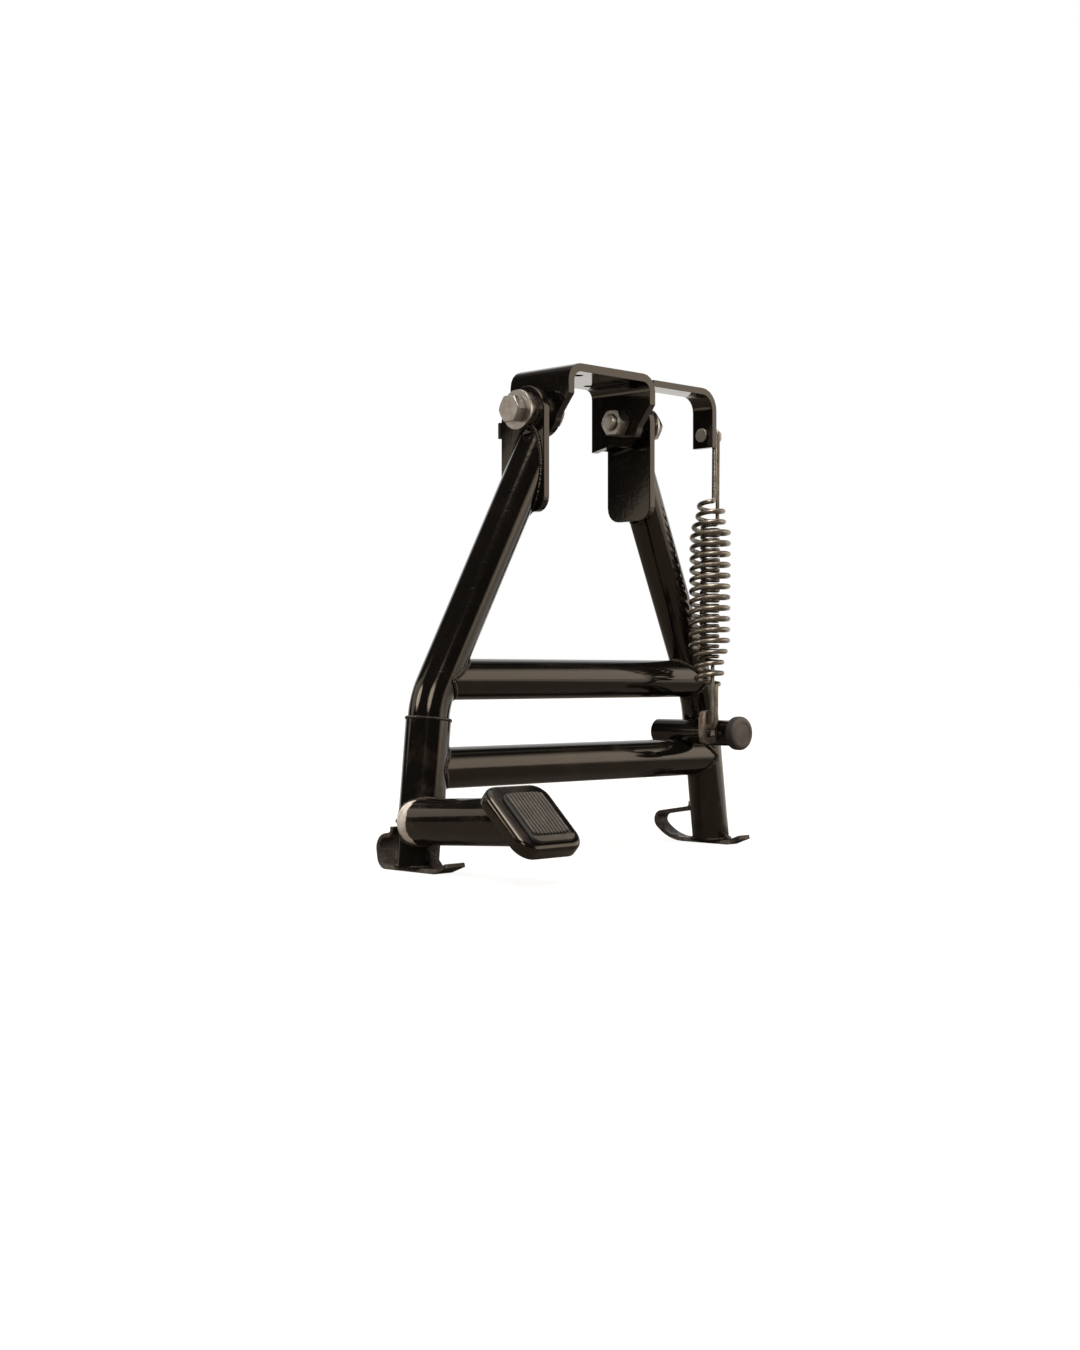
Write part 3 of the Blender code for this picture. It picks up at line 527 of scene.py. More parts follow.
# A copy of a CAD node with its flat triangles joined, its edges eased and its shading smooth.
def eased(node, name, material, body, slot, ease, segments):
    s = meshSettings
    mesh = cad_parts[node].data.copy()
    shape = bmesh.new()
    shape.from_mesh(mesh)
    bmesh.ops.remove_doubles(shape, verts=shape.verts, dist=s["frameMerge"])
    bmesh.ops.dissolve_limit(shape, angle_limit=math.radians(s["flat"]), verts=shape.verts, edges=shape.edges)
    shape.to_mesh(mesh)
    shape.free()
    guide = placed(name, mesh)
    bevel = guide.modifiers.new("ease", "BEVEL")
    bevel.width = ease
    bevel.segments = segments
    bevel.limit_method = "ANGLE"
    bevel.angle_limit = math.radians(s["easeFrom"])
    bevel.use_clamp_overlap = True
    weighted = guide.modifiers.new("weighted", "WEIGHTED_NORMAL")
    weighted.keep_sharp = True
    mesh.shade_smooth()
    leave(name, bake(guide), material, body, slot, node)


def arc(centre, radius, start, end, steps):
    angles = [math.radians(start + (end - start) * i / steps) for i in range(steps + 1)]
    return [(centre[0] + radius * math.cos(a), centre[1] + radius * math.sin(a)) for a in angles]


def legAxis(side, height):
    s = layout
    if height < s["kneeHeight"]:
        share = height / s["kneeHeight"]
        x = s["footX"] + (s["kneeX"] - s["footX"]) * share
        y = s["footY"] + (s["kneeY"] - s["footY"]) * share
    else:
        share = (height - s["kneeHeight"]) / (s["seatHeight"] - s["kneeHeight"])
        x = s["kneeX"] + (s["plateFace"] - s["kneeX"]) * share
        y = s["kneeY"] + (s["seatY"] - s["kneeY"]) * share
    return Vector((side * x, y, ground + height))


# The leg's middle line from one height to another, rounded at the knee.
def legPath(side, low, high):
    before, knee, after = legAxis(side, low), legAxis(side, layout["kneeHeight"]), legAxis(side, high)
    toStart, toEnd = (before - knee).normalized(), (after - knee).normalized()
    half = toStart.angle(toEnd) / 2
    radius, steps = layout["kneeRadius"], layout["kneeSteps"]
    centre = knee + (toStart + toEnd).normalized() * radius / math.sin(half)
    start = knee + toStart * radius / math.tan(half) - centre
    end = knee + toEnd * radius / math.tan(half) - centre
    return [before] + [centre + start.slerp(end, i / steps) * radius for i in range(steps + 1)] + [after]


# The stand's tubes: how deep their open ends are hollow, and how far they run past what they join.
tubeSettings = {
    "sides": 64,
    "wall": 0.0026,
    "legHollow": 0.014,
    "postHollow": 0.010,
    "stripThickness": 0.0032,
    "belowGround": 0.006,
    "sleeveOverlap": 0.02,
    "pastSeat": 0.0438,
    "crossInset": 0.004,
    "copeLength": 0.12,
    "copeSides": 96,
}


def copeCutter():
    radius, half = layout["copeRadius"], tubeSettings["copeLength"]
    profile = [(0, half), (radius, half), (radius, -half), (0, -half)]
    return turnedMesh("cope", profile, Matrix.Rotation(math.pi / 2, 4, "Y"), tubeSettings["copeSides"])


def buildTubes():
    s, t = layout, tubeSettings
    radius, sides = s["tubeRadius"], t["sides"]
    footTop = (0, 0, ground + t["stripThickness"] + gap)
    down = (0, 0, -1)
    for side, word, low in ((1, "right", -t["belowGround"]), (-1, "left", s["sleeveTop"] - t["sleeveOverlap"])):
        mesh = tubeMesh(word, legPath(side, low, s["seatHeight"] + t["pastSeat"]), radius, sides)
        cutOff(mesh, (side * (s["plateFace"] + gap), 0, 0), (-side, 0, 0))
        mesh = carved(mesh, copeCutter())
        if side > 0:
            cutOff(mesh, footTop, down, t["wall"], t["legHollow"])
        leave(word + "Leg", tidied(mesh, "cutSharp"), gloss, "stand", "gloss_black", word + "_leg_tube")
    path = [legAxis(-1, s["tangHeight"]), legAxis(-1, s["sleeveTop"])]
    sleeve = tubeMesh("sleeve", path, s["sleeveRadius"], sides)
    leave("lowerSleeve", sleeve, gloss, "stand", "gloss_black", "left_lower_sleeve")
    inset = Vector((t["crossInset"], 0, 0))
    for word in ("upper", "lower"):
        height = s[word + "Cross"]
        cross = tubeMesh(word, [legAxis(-1, height) + inset, legAxis(1, height) - inset], radius, sides)
        leave(word + "Cross", cross, gloss, "stand", "gloss_black", word + "_cross_tube")
    post = tubeMesh("post", [legAxis(-1, -t["belowGround"]), legAxis(-1, s["tangHeight"])], radius, sides)
    cutOff(post, footTop, down, t["wall"], t["postHollow"])
    leave("footPost", tidied(post, "cutSharp"), gloss, "stand", "gloss_black", "left_foot_post")


buildTubes()
print("tubes built")


# The tang's reach, the pressed pedal above its end, and the patch on the tang's dome, rubbed bare and painted pale as
# a highlight.
pedalSettings = {
    "reach": 0.112,
    "lift": 0.0045,
    "tilt": math.radians(42.5),
    "width": 0.056,
    "length": 0.058,
    "depth": 0.010,
    "wall": 0.0025,
    "corner": 0.0125,
    "cornerSteps": 12,
    "edge": 0.004,
    "edgeSteps": 8,
    "lip": 0.0005,
    "lipSteps": 2,
    "lipFrom": 60,
    "domeSteps": 20,
    "bareHighlightDepth": 0.003,
    "bareHighlightWander": 0.006,
}
postTop = legAxis(-1, layout["tangHeight"])
tangStart = postTop - Vector((layout["tangOffset"], layout["tangOffset"], 0))
tangMatrix = Matrix.Translation(tangStart) @ Matrix.Rotation(math.pi / 2 - layout["tangRise"], 4, "X")


def pedalMatrix():
    s = pedalSettings
    down = Vector((0, -math.cos(s["tilt"]), -math.sin(s["tilt"])))
    out = Vector((0, -math.sin(s["tilt"]), math.cos(s["tilt"])))
    turn = Matrix((Vector((-1, 0, 0)), down, out)).transposed().to_4x4()
    return Matrix.Translation(tangMatrix @ Vector((0, 0, s["reach"])) + Vector((0, 0, s["lift"]))) @ turn


def buildTang():
    s, radius = pedalSettings, layout["sleeveRadius"]
    towards = (tangMatrix.to_3x3() @ Vector((0, 0, -1))).normalized()
    # The dome's patch is rubbed bare and painted pale as a highlight.
    paint = paintMaterial("tangPaint", bare=(tangStart - towards * s["bareHighlightDepth"], towards, s["bareHighlightWander"]))
    angles = [math.radians(90 * i / s["domeSteps"]) for i in range(s["domeSteps"], -1, -1)]
    dome = [(radius * math.sin(a), -radius * math.cos(a)) for a in angles]
    length = s["reach"] + radius * 2
    mesh = turnedMesh("tang", [(0, length), (radius, length)] + dome, tangMatrix, tubeSettings["sides"])
    place = pedalMatrix()
    under = place @ Vector((0, 0, -s["wall"] - gap))
    cutOff(mesh, under, place.to_3x3() @ Vector((0, 0, 1)))
    leave("tang", tidied(mesh, "cutSharp"), paint, "stand", "gloss_black", "tang_tube")


# A block with its upright edges rounded, only those from a y on if one is given, and its top rim eased. Corner and
# edge are each a width and a number of steps.
def roundedBlock(size, middle, corner, edge, fromY=-1):
    shape = bmesh.new()
    bmesh.ops.create_cube(shape, size=1)
    bmesh.ops.scale(shape, vec=size, verts=shape.verts)
    bmesh.ops.translate(shape, vec=middle, verts=shape.verts)
    tall = [e for e in shape.edges if abs(e.verts[0].co.z - e.verts[1].co.z) > size[2] / 2]
    upright = [e for e in tall if e.verts[0].co.y > fromY]
    bmesh.ops.bevel(shape, geom=upright, offset=corner[0], segments=corner[1], profile=0.5, affect="EDGES")
    rim = [e for e in shape.edges if all(v.co.z > middle[2] + size[2] / 4 for v in e.verts)]
    bmesh.ops.bevel(shape, geom=rim, offset=edge[0], segments=edge[1], profile=0.5, affect="EDGES")
    return shape


def buildPedal():
    s = pedalSettings
    size = (s["width"], s["length"], s["depth"])
    corner, edge = (s["corner"], s["cornerSteps"]), (s["edge"], s["edgeSteps"])
    shape = roundedBlock(size, (0, 0, -s["depth"] / 2), corner, edge)
    under = [f for f in shape.faces if all(v.co.z < -s["depth"] * 0.99 for v in f.verts)]
    bmesh.ops.delete(shape, geom=under, context="FACES")
    guide = placed("pedal", meshOf("pedal", shape))
    wall = guide.modifiers.new("wall", "SOLIDIFY")
    wall.thickness = s["wall"]
    wall.offset = -1
    lip = guide.modifiers.new("lip", "BEVEL")
    lip.width = s["lip"]
    lip.segments = s["lipSteps"]
    lip.angle_limit = math.radians(s["lipFrom"])
    solid = bake(guide)
    solid.transform(pedalMatrix())
    leave("pedalTray", tidied(solid, "cutSharp"), gloss, "stand", "gloss_black", "pedal_plate")


buildTang()
buildPedal()

# The ribs end a little before the low land at the pad's lower end, and their crests and the land's top are paler, as
# rubbed wear and a painted highlight.
padSettings = {
    "width": 0.033,
    "margin": 0.0022,
    "length": 0.0443,
    "land": 0.0048,
    "sideOffset": 0.0003,
    "slopeOffset": 0.0029,
    "base": 0.0014,
    "landHeight": 0.0012,
    "corner": (0.007, 8),
    "edge": (0.0006, 3),
    "ribs": 11,
    "ribHeight": 0.0021,
    "ribShare": 0.36,
    "ribEndGap": 0.0009,
    "ribSteps": 25,
    "ribSides": 12,
    "ribTaper": 60,
    "ribShorter": 0.12,
    # How pale the crests and land go: rubbed wear and a painted highlight.
    "rubbedAndHighlight": 0.9,
    "wearAndHighlightHeights": (0.0018, 0.0034),
}


# Ribs side by side along the pad: a rounded bar with tapered ends on each point of a line.
def growRibs(recipe, wires):
    s = padSettings
    count, pitch, length = wires["Count"], wires["Pitch"], wires["Length"]
    first = (count - 1) * pitch * -0.5
    start = recipe.node("ShaderNodeCombineXYZ", None, {0: first})
    offset = recipe.node("ShaderNodeCombineXYZ", None, {0: pitch})
    line = recipe.node("GeometryNodeMeshLine", None, {"Count": count, "Start Location": start, "Offset": offset})
    low = recipe.node("ShaderNodeCombineXYZ", None, {1: length * -0.5})
    high = recipe.node("ShaderNodeCombineXYZ", None, {1: length * 0.5})
    bar = recipe.node("GeometryNodeCurvePrimitiveLine", None, {"Start": low, "End": high})
    bar = recipe.node("GeometryNodeResampleCurve", None, {"Curve": bar, "Count": s["ribSteps"]})
    along = recipe.node("GeometryNodeSplineParameter")
    taper = ((along * (1 - along)) * s["ribTaper"]).sum("MINIMUM", 1.0) ** 0.5
    bar = recipe.node("GeometryNodeSetCurveRadius", None, {"Curve": bar, "Radius": taper})
    outline = {"Resolution": s["ribSides"], "Radius": wires["Radius"]}
    ring = recipe.node("GeometryNodeCurvePrimitiveCircle", None, outline)
    rib = recipe.node(
        "GeometryNodeCurveToMesh", None, {"Curve": bar, "Profile Curve": ring, "Scale": taper, "Fill Caps": True}
    )
    side = recipe.node("GeometryNodeInputIndex")
    away = ((side - (count - 1) * 0.5) / (count * 0.5)).sum("ABSOLUTE", 0)
    shorter = 1 - (away**6) * s["ribShorter"]
    stretch = recipe.node("ShaderNodeCombineXYZ", None, {0: 1.0, 1: shorter, 2: 1.0})
    return recipe.node("GeometryNodeInstanceOnPoints", None, {"Points": line, "Instance": rib, "Scale": stretch})


ribGrowth = growthTree(
    "padRibs",
    {
        "Count": ("NodeSocketInt", 11),
        "Pitch": ("NodeSocketFloat", 0.0028),
        "Length": ("NodeSocketFloat", 0.043),
        "Radius": ("NodeSocketFloat", 0.001),
    },
    growRibs,
)


def joined(name, meshes):
    shape = bmesh.new()
    for mesh in meshes:
        shape.from_mesh(mesh)
    return meshOf(name, shape)


def padBlock(name, length, height, middle, fromY=-1):
    s = padSettings
    size = (s["width"] + 2 * s["margin"], length, height)
    shape = roundedBlock(size, (0, middle, height / 2 + gap), s["corner"], s["edge"], fromY)
    return meshOf(name, shape)


def buildPad():
    s = padSettings
    place = pedalMatrix()
    # Paler with height above the tray: rubbed wear and a painted highlight on the rib crests and the land.
    wearAndHighlight = (place.translation, place.to_3x3() @ Vector((0, 0, 1)), *s["wearAndHighlightHeights"])
    padRubber = rubberMaterial("padRubber", s["rubbedAndHighlight"], wearAndHighlight)
    pitch = s["width"] / s["ribs"]
    radius = pitch * s["ribShare"]
    guide = placed("ribs", bpy.data.meshes.new("ribs"))
    ribLength = s["length"] - s["land"] - s["ribEndGap"]
    ribs = grownMesh(guide, ribGrowth, padRubber, Count=s["ribs"], Pitch=pitch, Length=ribLength, Radius=radius)
    ribs.transform(Matrix.Translation((0, -s["land"] / 2, s["base"] + s["ribHeight"] - radius)))
    slab = padBlock("slab", s["length"], s["base"], 0)
    middle = (s["length"] - s["land"]) / 2
    land = padBlock("land", s["land"], s["base"] + s["landHeight"], middle, middle)
    pad = joined("pedalPad", [ribs, slab, land])
    pad.transform(place @ Matrix.Translation((-s["sideOffset"], s["slopeOffset"], 0)))
    leave("pedalPad", tidied(pad), padRubber, "stand", "black_rubber", "pedal_rubber")


buildPad()
print("pedal built")


# The tube beside the right leg, and the rubber buffer plugged into its rear end.
bumperSettings = {
    "radius": 0.010,
    "sides": 48,
    "height": 0.090,
    "front": 0.023,
    "rear": 0.054,
    "overrun": 0.001,
    "wall": 0.0022,
    "hollowDepth": 0.020,
    "bufferRadius": 0.013,
    "bufferLength": 0.009,
    "bufferEdge": 0.003,
    "bufferEdgeSteps": 6,
    "dishDepth": 0.0004,
    "dishShares": (0.62, 0.66),
    "plugRadius": 0.0069,
    "plugDepth": 0.010,
    "wornDepths": (0.0015, 0.0002),
}


def bumperLine():
    s = bumperSettings
    beside = legAxis(1, s["height"])
    slope = abs(layout["footX"] - layout["kneeX"]) / layout["kneeHeight"]
    x = beside.x - (layout["tubeRadius"] + s["radius"] + gap) * math.hypot(1, slope) - gap
    return Vector((x, beside.y + s["front"], beside.z)), Vector((x, beside.y - s["rear"], beside.z))


def buildBumper():
    s = bumperSettings
    front, rear = bumperLine()
    mesh = tubeMesh("bumper", [front + Vector((0, s["overrun"], 0)), rear], s["radius"], s["sides"])
    cutOff(mesh, front, (0, 1, 0), s["wall"], s["hollowDepth"])
    leave("bumper", tidied(mesh, "cutSharp"), gloss, "stand", "gloss_black", "bumper_tube")
    edge, length, radius = s["bufferEdge"], s["bufferLength"], s["bufferRadius"]
    dish, (inner, outer) = length - s["dishDepth"], s["dishShares"]
    profile = [(0, dish), (radius * inner, dish), (radius * outer, length)]
    profile += arc((radius - edge, length - edge), edge, 90, 0, s["bufferEdgeSteps"])
    profile += arc((radius - edge, edge), edge, 0, -90, s["bufferEdgeSteps"])
    profile += [(s["plugRadius"], 0), (s["plugRadius"], -s["plugDepth"]), (0, -s["plugDepth"])]
    matrix = Matrix.Translation(rear - Vector((0, gap, 0))) @ Matrix.Rotation(math.pi / 2, 4, "X")
    rubber = rubberMaterial("bufferRubber", 1.0, (rear, (0, -1, 0), *(length - depth for depth in s["wornDepths"])))
    buffer = turnedMesh("buffer", profile, matrix, s["sides"])
    leave("buffer", buffer, rubber, "stand", "black_rubber", "rubber_buffer")


buildBumper()
print("bumper built")


# Start and finish are the coil's distances from the lower hook and from the pin. Narrow gives how many turns keep the
# end radius at the lower and at the upper end. Bow gives two heights on the springs.
springSettings = {
    "pin": (0.126, -0.018, -0.004),
    "slot": (0.10523, -0.033, -0.232),
    "hookRadius": 0.0054,
    "hookSteps": 20,
    "hookTail": 0.9,
    "turn": 0.003,
    "turnSteps": 6,
    "sides": 12,
    "stepsPerTurn": 36,
    "growTurns": 1.3,
    "joinTurns": 0.5,
    "shankSteps": 24,
    "bow": (0.004, -0.074),
    "outer": {
        "wire": 0.0019,
        "coil": 0.01425,
        "end": 0.0099,
        "turns": 17,
        "start": 0.029,
        "finish": 0.053,
        "side": 0.0021,
        "narrow": (2.3, 1.5),
    },
    "inner": {
        "wire": 0.0015,
        "coil": 0.0064,
        "end": 0.0064,
        "turns": 27,
        "start": 0.046,
        "finish": 0.071,
        "side": -0.0021,
        "narrow": (1.0, 1.0),
    },
}


def hookPoints(side, top):
    s = springSettings
    radius = s["hookRadius"]
    points = arc((0, 0), radius, 180, 360, s["hookSteps"]) + [(radius, radius * s["hookTail"])]
    return [(side, y, top * -z) for y, z in points]


# A straight shank at each end turns sharply into the coil; the upper shank is opposite the lower one.
def springPoints(length, spring):
    s = springSettings
    low, high = -length + spring["start"], -spring["finish"]
    hook, turn = s["hookRadius"], s["turn"]
    turns, side = spring["turns"], spring["side"]
    firstAngle = math.atan2(-hook, side + turn)
    lastAngle = math.atan2(-hook, -side - turn) + 2 * math.pi * turns
    firstRadius = math.hypot(side + turn, hook)
    count = turns * s["stepsPerTurn"]
    coil = []
    for i in range(count + 1):
        share = i / count
        turnsIn = min(share, 1 - share) * turns
        narrow = spring["narrow"][0 if share < 0.5 else 1]
        grown = min(max((turnsIn - narrow) / s["growTurns"], 0), 1)
        radius = spring["end"] + (spring["coil"] - spring["end"]) * (3 - 2 * grown) * grown**2
        radius = firstRadius + (radius - firstRadius) * min(turnsIn / s["joinTurns"], 1)
        angle = firstAngle + (lastAngle - firstAngle) * share
        coil.append((radius * math.cos(angle), radius * math.sin(angle), low + (high - low) * share))
    angles = [math.radians(90 * i / s["turnSteps"]) for i in range(s["turnSteps"])]
    bends = [(turn * (1 - math.cos(a)), turn * (1 - math.sin(a))) for a in angles]
    lower = [(x, y, z - length) for x, y, z in hookPoints(side, -1)][::-1]
    lower += [(side + out, -hook, low - down) for out, down in bends]
    upper = [(-side - out, -hook, high + down) for out, down in bends[::-1]]
    # The upper shank has points all along.
    steps = s["shankSteps"]
    upper += [(-side, -hook, (high + turn) * (1 - i / steps)) for i in range(1, steps)]
    return lower + coil + upper + hookPoints(-side, 1)


def buildSprings():
    s = springSettings
    pin = Vector(s["pin"])
    lowest = Vector(s["slot"]) + Vector((0, 0, s["hookRadius"]))
    up = (pin - lowest).normalized()
    right = (Vector((1, 0, 0)) - up * up.x).normalized()
    matrix = Matrix.Translation(pin) @ Matrix((right, up.cross(right), up)).transposed().to_4x4()
    for word, material in (("outer", springSteel), ("inner", innerSteel)):
        points = [matrix @ Vector(p) for p in springPoints((pin - lowest).length, s[word])]
        piece = placed(word + "Coil", tubeMesh(word, points, s[word]["wire"], s["sides"], material))
        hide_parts(word + "_spring")
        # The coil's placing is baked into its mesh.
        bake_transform(piece)


buildSprings()
print("springs built")


# Plates, feet and fasteners are the frame's own nodes with eased edges: the bevel's width and steps on each kind.
easeSettings = {
    "foot": (0.0006, 3),
    "plate": (0.0007, 3),
    "tab": (0.0005, 2),
    "turned": (0.0004, 2),
    "pin": (0.0003, 2),
}


def buildEased():
    s = easeSettings
    for word in ("left", "right"):
        eased(word + "_foot", word + "Runner", wornFoot, "stand", "worn_steel", *s["foot"])
        eased(word + "_foot_gusset", word + "Gusset", wornFoot, "stand", "worn_steel", *s["tab"])
        eased(word + "_pivot_plate", word + "Plate", gloss, "stand", "gloss_black", *s["plate"])
        eased(word + "_pivot_bush", word + "Bush", zinc, "stand", "zinc_steel", *s["turned"])
        eased(word + "_pivot_bolt", word + "Bolt", zinc, "bracket", "zinc_steel", *s["turned"])
        eased(word + "_pivot_nut", word + "Nut", zinc, "bracket", "zinc_steel", *s["turned"])
        eased(word + "_washer", word + "Washer", zinc, "bracket", "zinc_steel", *s["turned"])
        eased(word + "_stop_block", word + "Stop", gloss, "bracket", "gloss_black", *s["plate"])
    eased("spring_anchor_plate", "anchorPlate", anchorSteel, "stand", "zinc_steel", *s["tab"])
    eased("mounting_bracket", "bracketPlate", gloss, "bracket", "gloss_black", *s["plate"])
    eased("spring_hanger", "hangerStrip", gloss, "bracket", "gloss_black", *s["plate"])
    eased("hanger_pin", "hangerPin", zinc, "bracket", "zinc_steel", *s["pin"])


buildEased()
print("plates and fasteners built")


# Beads gives the radius of each seam's bead. The first rows say how its drops lie, and the last ones where the seams
# run round the small parts: half widths, heights above the ground and radii.
weldSettings = {
    "spacing": 0.0013,
    "flat": 0.62,
    "seed": 5,
    "swell": (0.86, 1.12),
    "lean": 0.25,
    "leanSeed": 7,
    "ball": {"Segments": 9, "Rings": 6, "Radius": 1.0},
    "beads": {
        "cross": 0.0019,
        "plate": 0.0019,
        "bush": 0.0011,
        "foot": 0.0017,
        "gusset": 0.0011,
        "bumper": 0.0019,
        "anchor": 0.0012,
        "sleeve": 0.0014,
        "tang": 0.0017,
    },
    "plateHalf": 0.003,
    "bushRadius": 0.0122,
    "footTop": 0.0036,
    "footHalf": 0.0117,
    "gussetHalf": 0.0022,
    "gussetLow": 0.0045,
    "gussetHigh": {1: 0.0077, -1: 0.0142},
    "anchorHalf": 0.0022,
    "anchorReach": 0.0085,
    "contactRadius": 0.0075,
}


# Overlapping flattened drops along each seam; a seam's bead radius is its curve radius.
def growBeads(recipe, wires):
    s = weldSettings

    def vary(low, high, seed):
        return recipe.node("FunctionNodeRandomValue", {"data_type": "FLOAT"}, {2: low, 3: high, "Seed": seed}, out=1)

    spaced = {"Curve": wires["Geometry"], "Length": wires["Spacing"]}
    line = recipe.node("GeometryNodeResampleCurve", {"mode": "LENGTH"}, spaced)
    points = recipe.node("GeometryNodeCurveToPoints", {"mode": "EVALUATED"}, {"Curve": line})
    turn = Wire(recipe, points.socket.node.outputs["Rotation"])
    ball = recipe.node("GeometryNodeMeshUVSphere", None, s["ball"])
    lean = vary(-s["lean"], s["lean"], wires["Seed"] + s["leanSeed"])
    wide = recipe.node("GeometryNodeInputRadius") * vary(*s["swell"], wires["Seed"])
    size = recipe.node("ShaderNodeCombineXYZ", None, {0: wide, 1: wide, 2: wide * wires["Flat"]})
    tip = recipe.node("ShaderNodeCombineXYZ", None, {0: lean, 1: lean * 0.7})
    tip = recipe.node("FunctionNodeEulerToRotation", None, {0: tip})
    turn = recipe.node("FunctionNodeRotateRotation", {"rotation_space": "LOCAL"}, {0: turn, 1: tip})
    placing = {"Points": points, "Instance": ball, "Rotation": turn, "Scale": size}
    return recipe.node("GeometryNodeInstanceOnPoints", None, placing)


beadGrowth = growthTree(
    "weldBeads",
    {
        "Spacing": ("NodeSocketFloat", weldSettings["spacing"]),
        "Flat": ("NodeSocketFloat", weldSettings["flat"]),
        "Seed": ("NodeSocketInt", weldSettings["seed"]),
    },
    growBeads,
)


def ringAround(centre, direction, radius, count=72):
    direction = Vector(direction).normalized()
    first = direction.cross(Vector((0, 0, 1)) if abs(direction.z) < 0.9 else Vector((0, 1, 0))).normalized()
    second = direction.cross(first)
    angles = [2 * math.pi * i / count for i in range(count + 1)]
    return [Vector(centre) + (first * math.cos(a) + second * math.sin(a)) * radius for a in angles]


# Where a branch tube that starts inside a main tube comes out through its wall.
def saddle(branchStart, branchDirection, branchRadius, mainPoint, mainDirection, mainRadius):
    branch, main = Vector(branchDirection).normalized(), Vector(mainDirection).normalized()
    found = []
    for start in ringAround(branchStart, branchDirection, branchRadius):
        off = start - Vector(mainPoint)
        off -= main * off.dot(main)
        slope = branch - main * branch.dot(main)
        b, c = off.dot(slope), off.dot(off) - mainRadius**2
        root = math.sqrt(max(b * b - slope.dot(slope) * c, 0))
        found.append(start + branch * (root - b) / slope.dot(slope))
    return found


def crossSeams(side):
    s, seams = layout, []
    for height in (s["upperCross"], s["lowerCross"]):
        near, far = legAxis(side, height - 0.004), legAxis(side, height + 0.004)
        thick = s["sleeveRadius"] if side < 0 and height < s["sleeveTop"] else s["tubeRadius"]
        seams.append(saddle(legAxis(side, height), (-side, 0, 0), s["tubeRadius"], near, far - near, thick))
    return seams


# Where the leg's slanting upper part meets the pivot plate's face.
def plateSeam(side):
    start, direction = legAxis(side, 0.2), (legAxis(side, 0.27) - legAxis(side, 0.2)).normalized()
    ring = ringAround(start, direction, layout["tubeRadius"])
    return [point + direction * ((side * layout["plateFace"] - point.x) / direction.x) for point in ring]


def bushSeams(side):
    half, radius = weldSettings["plateHalf"], weldSettings["bushRadius"]
    middle = side * (layout["plateFace"] - half)
    return [ringAround((middle + face, 0, 0), (1, 0, 0), radius) for face in (-half, half)]


# The foot's strip is narrower than the leg, so the ring is cut off beside it.
def footSeam(side):
    foot, half = legAxis(side, weldSettings["footTop"]), weldSettings["footHalf"]
    ring = ringAround(foot, (0, 0, 1), layout["tubeRadius"] + 0.0002)
    for point in ring:
        point.x = foot.x + max(min(point.x - foot.x, half), -half)
    return ring


def gussetSeams(side):
    s = weldSettings
    foot, high, half = legAxis(side, s["footTop"]), s["gussetHigh"][side], s["gussetHalf"]
    rear = foot.y - layout["tubeRadius"] - 0.0006
    heights = (s["gussetLow"], high * 0.6, high)
    return [[(foot.x + edge, rear, ground + z) for z in heights] for edge in (-half, half)]


def anchorSeams(bumperX):
    half, reach = weldSettings["anchorHalf"], weldSettings["anchorReach"]
    y, z = springSettings["slot"][1:]
    edge = bumperX - bumperSettings["radius"] - 0.0004
    return [[(edge, y + face, z + 0.001 + up) for up in (-reach, 0, reach)] for face in (-half, half)]


# Where the sleeve above the tang, or the post below it, comes out of the tang's rounded end.
def tangSeam(upward, radius, count=96):
    rearward = tangMatrix.to_3x3() @ Vector((0, 0, 1))
    seam = []
    for i in range(count + 1):
        a = 2 * math.pi * i / count
        point = postTop + Vector((math.cos(a), math.sin(a), 0)) * radius
        along = max((point - tangStart).dot(rearward), 0)
        nearest = tangStart + rearward * along
        flat = math.hypot(point.x - nearest.x, point.y - nearest.y)
        rise = math.sqrt(max(layout["sleeveRadius"] ** 2 - flat**2, 0))
        leaning = legAxis(-1, layout["tangHeight"] + upward * rise) - postTop
        seam.append(Vector((point.x + leaning.x, point.y + leaning.y, nearest.z + upward * rise)))
    return seam


def standSeams():
    s, beads, seams = layout, weldSettings["beads"], []
    for side in (1, -1):
        seams += [(seam, beads["cross"]) for seam in crossSeams(side)]
        seams.append((plateSeam(side), beads["plate"]))
        seams += [(seam, beads["bush"]) for seam in bushSeams(side)]
        seams.append((footSeam(side), beads["foot"]))
        seams += [(seam, beads["gusset"]) for seam in gussetSeams(side)]
    front = bumperLine()[0]
    contact = (front.x + bumperSettings["radius"], legAxis(1, bumperSettings["height"]).y, front.z)
    seams.append((ringAround(contact, (1, 0, 0), weldSettings["contactRadius"]), beads["bumper"]))
    seams += [(seam, beads["anchor"]) for seam in anchorSeams(front.x)]
    lean = legAxis(-1, 0.1) - legAxis(-1, 0.02)
    top = ringAround(legAxis(-1, s["sleeveTop"]), lean, s["tubeRadius"] + 0.0006)
    seams.append((top, beads["sleeve"]))
    seams += [(tangSeam(1, s["sleeveRadius"]), beads["tang"]), (tangSeam(-1, s["tubeRadius"]), beads["tang"])]
    return seams


def buildWelds():
    s = weldSettings
    paths, radii = zip(*standSeams())
    guide = pathObject("seams", paths, radii)
    mesh = grownMesh(guide, beadGrowth, glossWeld, Spacing=s["spacing"], Flat=s["flat"], Seed=s["seed"])
    mesh.shade_smooth()
    leave("standWelds", mesh, glossWeld, "stand", "gloss_black")


buildWelds()
print("welds built")


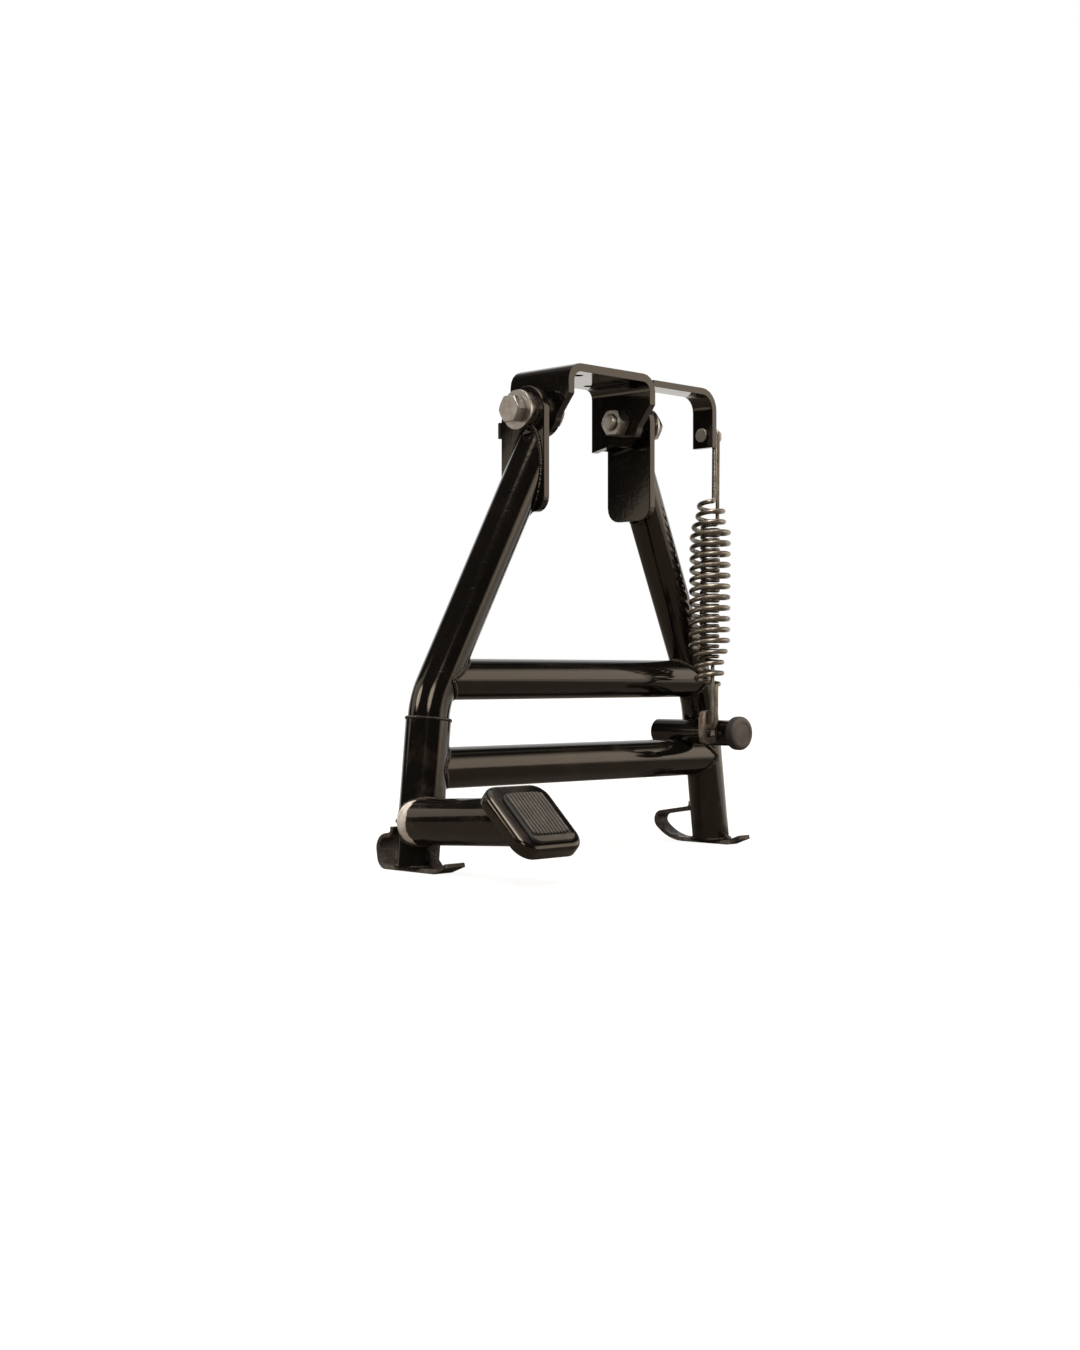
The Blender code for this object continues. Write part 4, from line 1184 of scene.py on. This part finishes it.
# The background is white beyond a slanting line on the floor and round the view's direction, so that the paint
# mirrors it. Lobes are the soft lights: direction, inner and outer half angle in degrees, and radiance.
stageSettings = {
    "floor": (0.21, 0.19, 0.165),
    "floorSize": 14,
    "floorDrop": 0.0002,
    "floorGlow": 0.90,
    "whiteFrom": ((0.98, 0.20, 0.0), 0.34, 0.56),
    "dark": (0.030, 0.028, 0.026),
    "backdrop": ((0.7071, 0.7071, 0.0), 34, 52),
    "panel": {
        "place": (-0.419, 0.30, -0.026),
        "size": (0.40, 0.20),
        "lean": 44,
        "radiance": 1.1,
        "colour": (1.0, 0.93, 0.84),
    },
    "lobes": [
        ((0.82, -0.57, 0.06), 22, 40, (2.3, 2.1, 1.85)),
        ((-0.33, -0.33, 0.88), 11, 21, (10.0, 9.7, 9.3)),
        ((-0.66, -0.66, 0.37), 6, 12, (7.0, 6.8, 6.5)),
        ((-0.81, 0.43, 0.40), 6, 12, (8.0, 7.7, 7.3)),
        ((0.10, 0.10, 0.99), 18, 42, (1.5, 1.45, 1.4)),
    ],
}


def facing(recipe, direction, towards, inner, outer):
    share = recipe.dot(direction, tuple(Vector(towards).normalized()))
    return recipe.step(share, math.cos(math.radians(outer)), math.cos(math.radians(inner)))


# How far a ray shows the white background: the camera's always, a shiny or clear surface's where it stands.
def backgroundSeen(recipe, where):
    def kind(out):
        return recipe.node("ShaderNodeLightPath", None, None, out=out)

    return (kind(0) + (kind(3) + kind(6)) * where).sum("MINIMUM", 1.0)


def buildFloor():
    s = stageSettings
    shape = bmesh.new()
    bmesh.ops.create_grid(shape, x_segments=1, y_segments=1, size=s["floorSize"])
    mesh = meshOf("floor", shape)
    mesh.transform(Matrix.Translation((0, 0, ground - s["floorDrop"])))
    floor = placed("floor", mesh)
    material, recipe, place = newRecipe("floor")
    towards, near, far = s["whiteFrom"]
    seen = backgroundSeen(recipe, recipe.step(recipe.dot(place, towards), near, far))
    diffuse = recipe.node("ShaderNodeBsdfDiffuse", None, {"Color": (*s["floor"], 1)})
    glow = recipe.node("ShaderNodeEmission", None, {"Color": (1, 1, 1, 1), "Strength": seen * s["floorGlow"]})
    both = recipe.node("ShaderNodeAddShader", None, {0: diffuse, 1: glow})
    recipe.node("ShaderNodeOutputMaterial", None, {"Surface": both})
    mesh.materials.append(material)


def buildWorld():
    s = stageSettings
    world = bpy.data.worlds.new("studio")
    bpy.context.scene.world = world
    world.use_nodes = True
    recipe = Recipe(world.node_tree)
    direction = recipe.node("ShaderNodeTexCoord", None, None, out=0)
    total = (*s["dark"], 1)
    adding = {"data_type": "RGBA", "blend_type": "ADD"}
    for towards, inner, outer, radiance in s["lobes"]:
        lobe = recipe.mix(facing(recipe, direction, towards, inner, outer), (0, 0, 0), radiance)
        total = recipe.node("ShaderNodeMix", adding, {0: 1.0, 6: total, 7: lobe}, out=2)
    seen = backgroundSeen(recipe, facing(recipe, direction, *s["backdrop"]))
    colour = recipe.mix(seen, total, (1.0, 1.0, 1.0))
    shader = recipe.node("ShaderNodeBackground", None, {"Color": colour, "Strength": 1.0})
    recipe.node("ShaderNodeOutputWorld", None, {"Surface": shader})
    bpy.context.scene.view_settings.view_transform = "Standard"


# A small soft panel low on the left, which only the tang shows, as a band along its upper side.
def buildPanel():
    s = stageSettings["panel"]
    data = bpy.data.lights.new("panel", "AREA")
    data.shape = "RECTANGLE"
    data.size, data.size_y = s["size"]
    data.energy = s["radiance"] * math.pi * data.size * data.size_y
    data.color = s["colour"]
    lamp = placed("panel", data)
    lamp.matrix_world = (
        Matrix.Translation(s["place"])
        @ Matrix.Rotation(-math.pi / 2, 4, "X")
        @ Matrix.Rotation(math.radians(s["lean"]), 4, "Z")
    )
    lamp.visible_camera = False


buildFloor()
buildWorld()
buildPanel()
print("stage and light set")
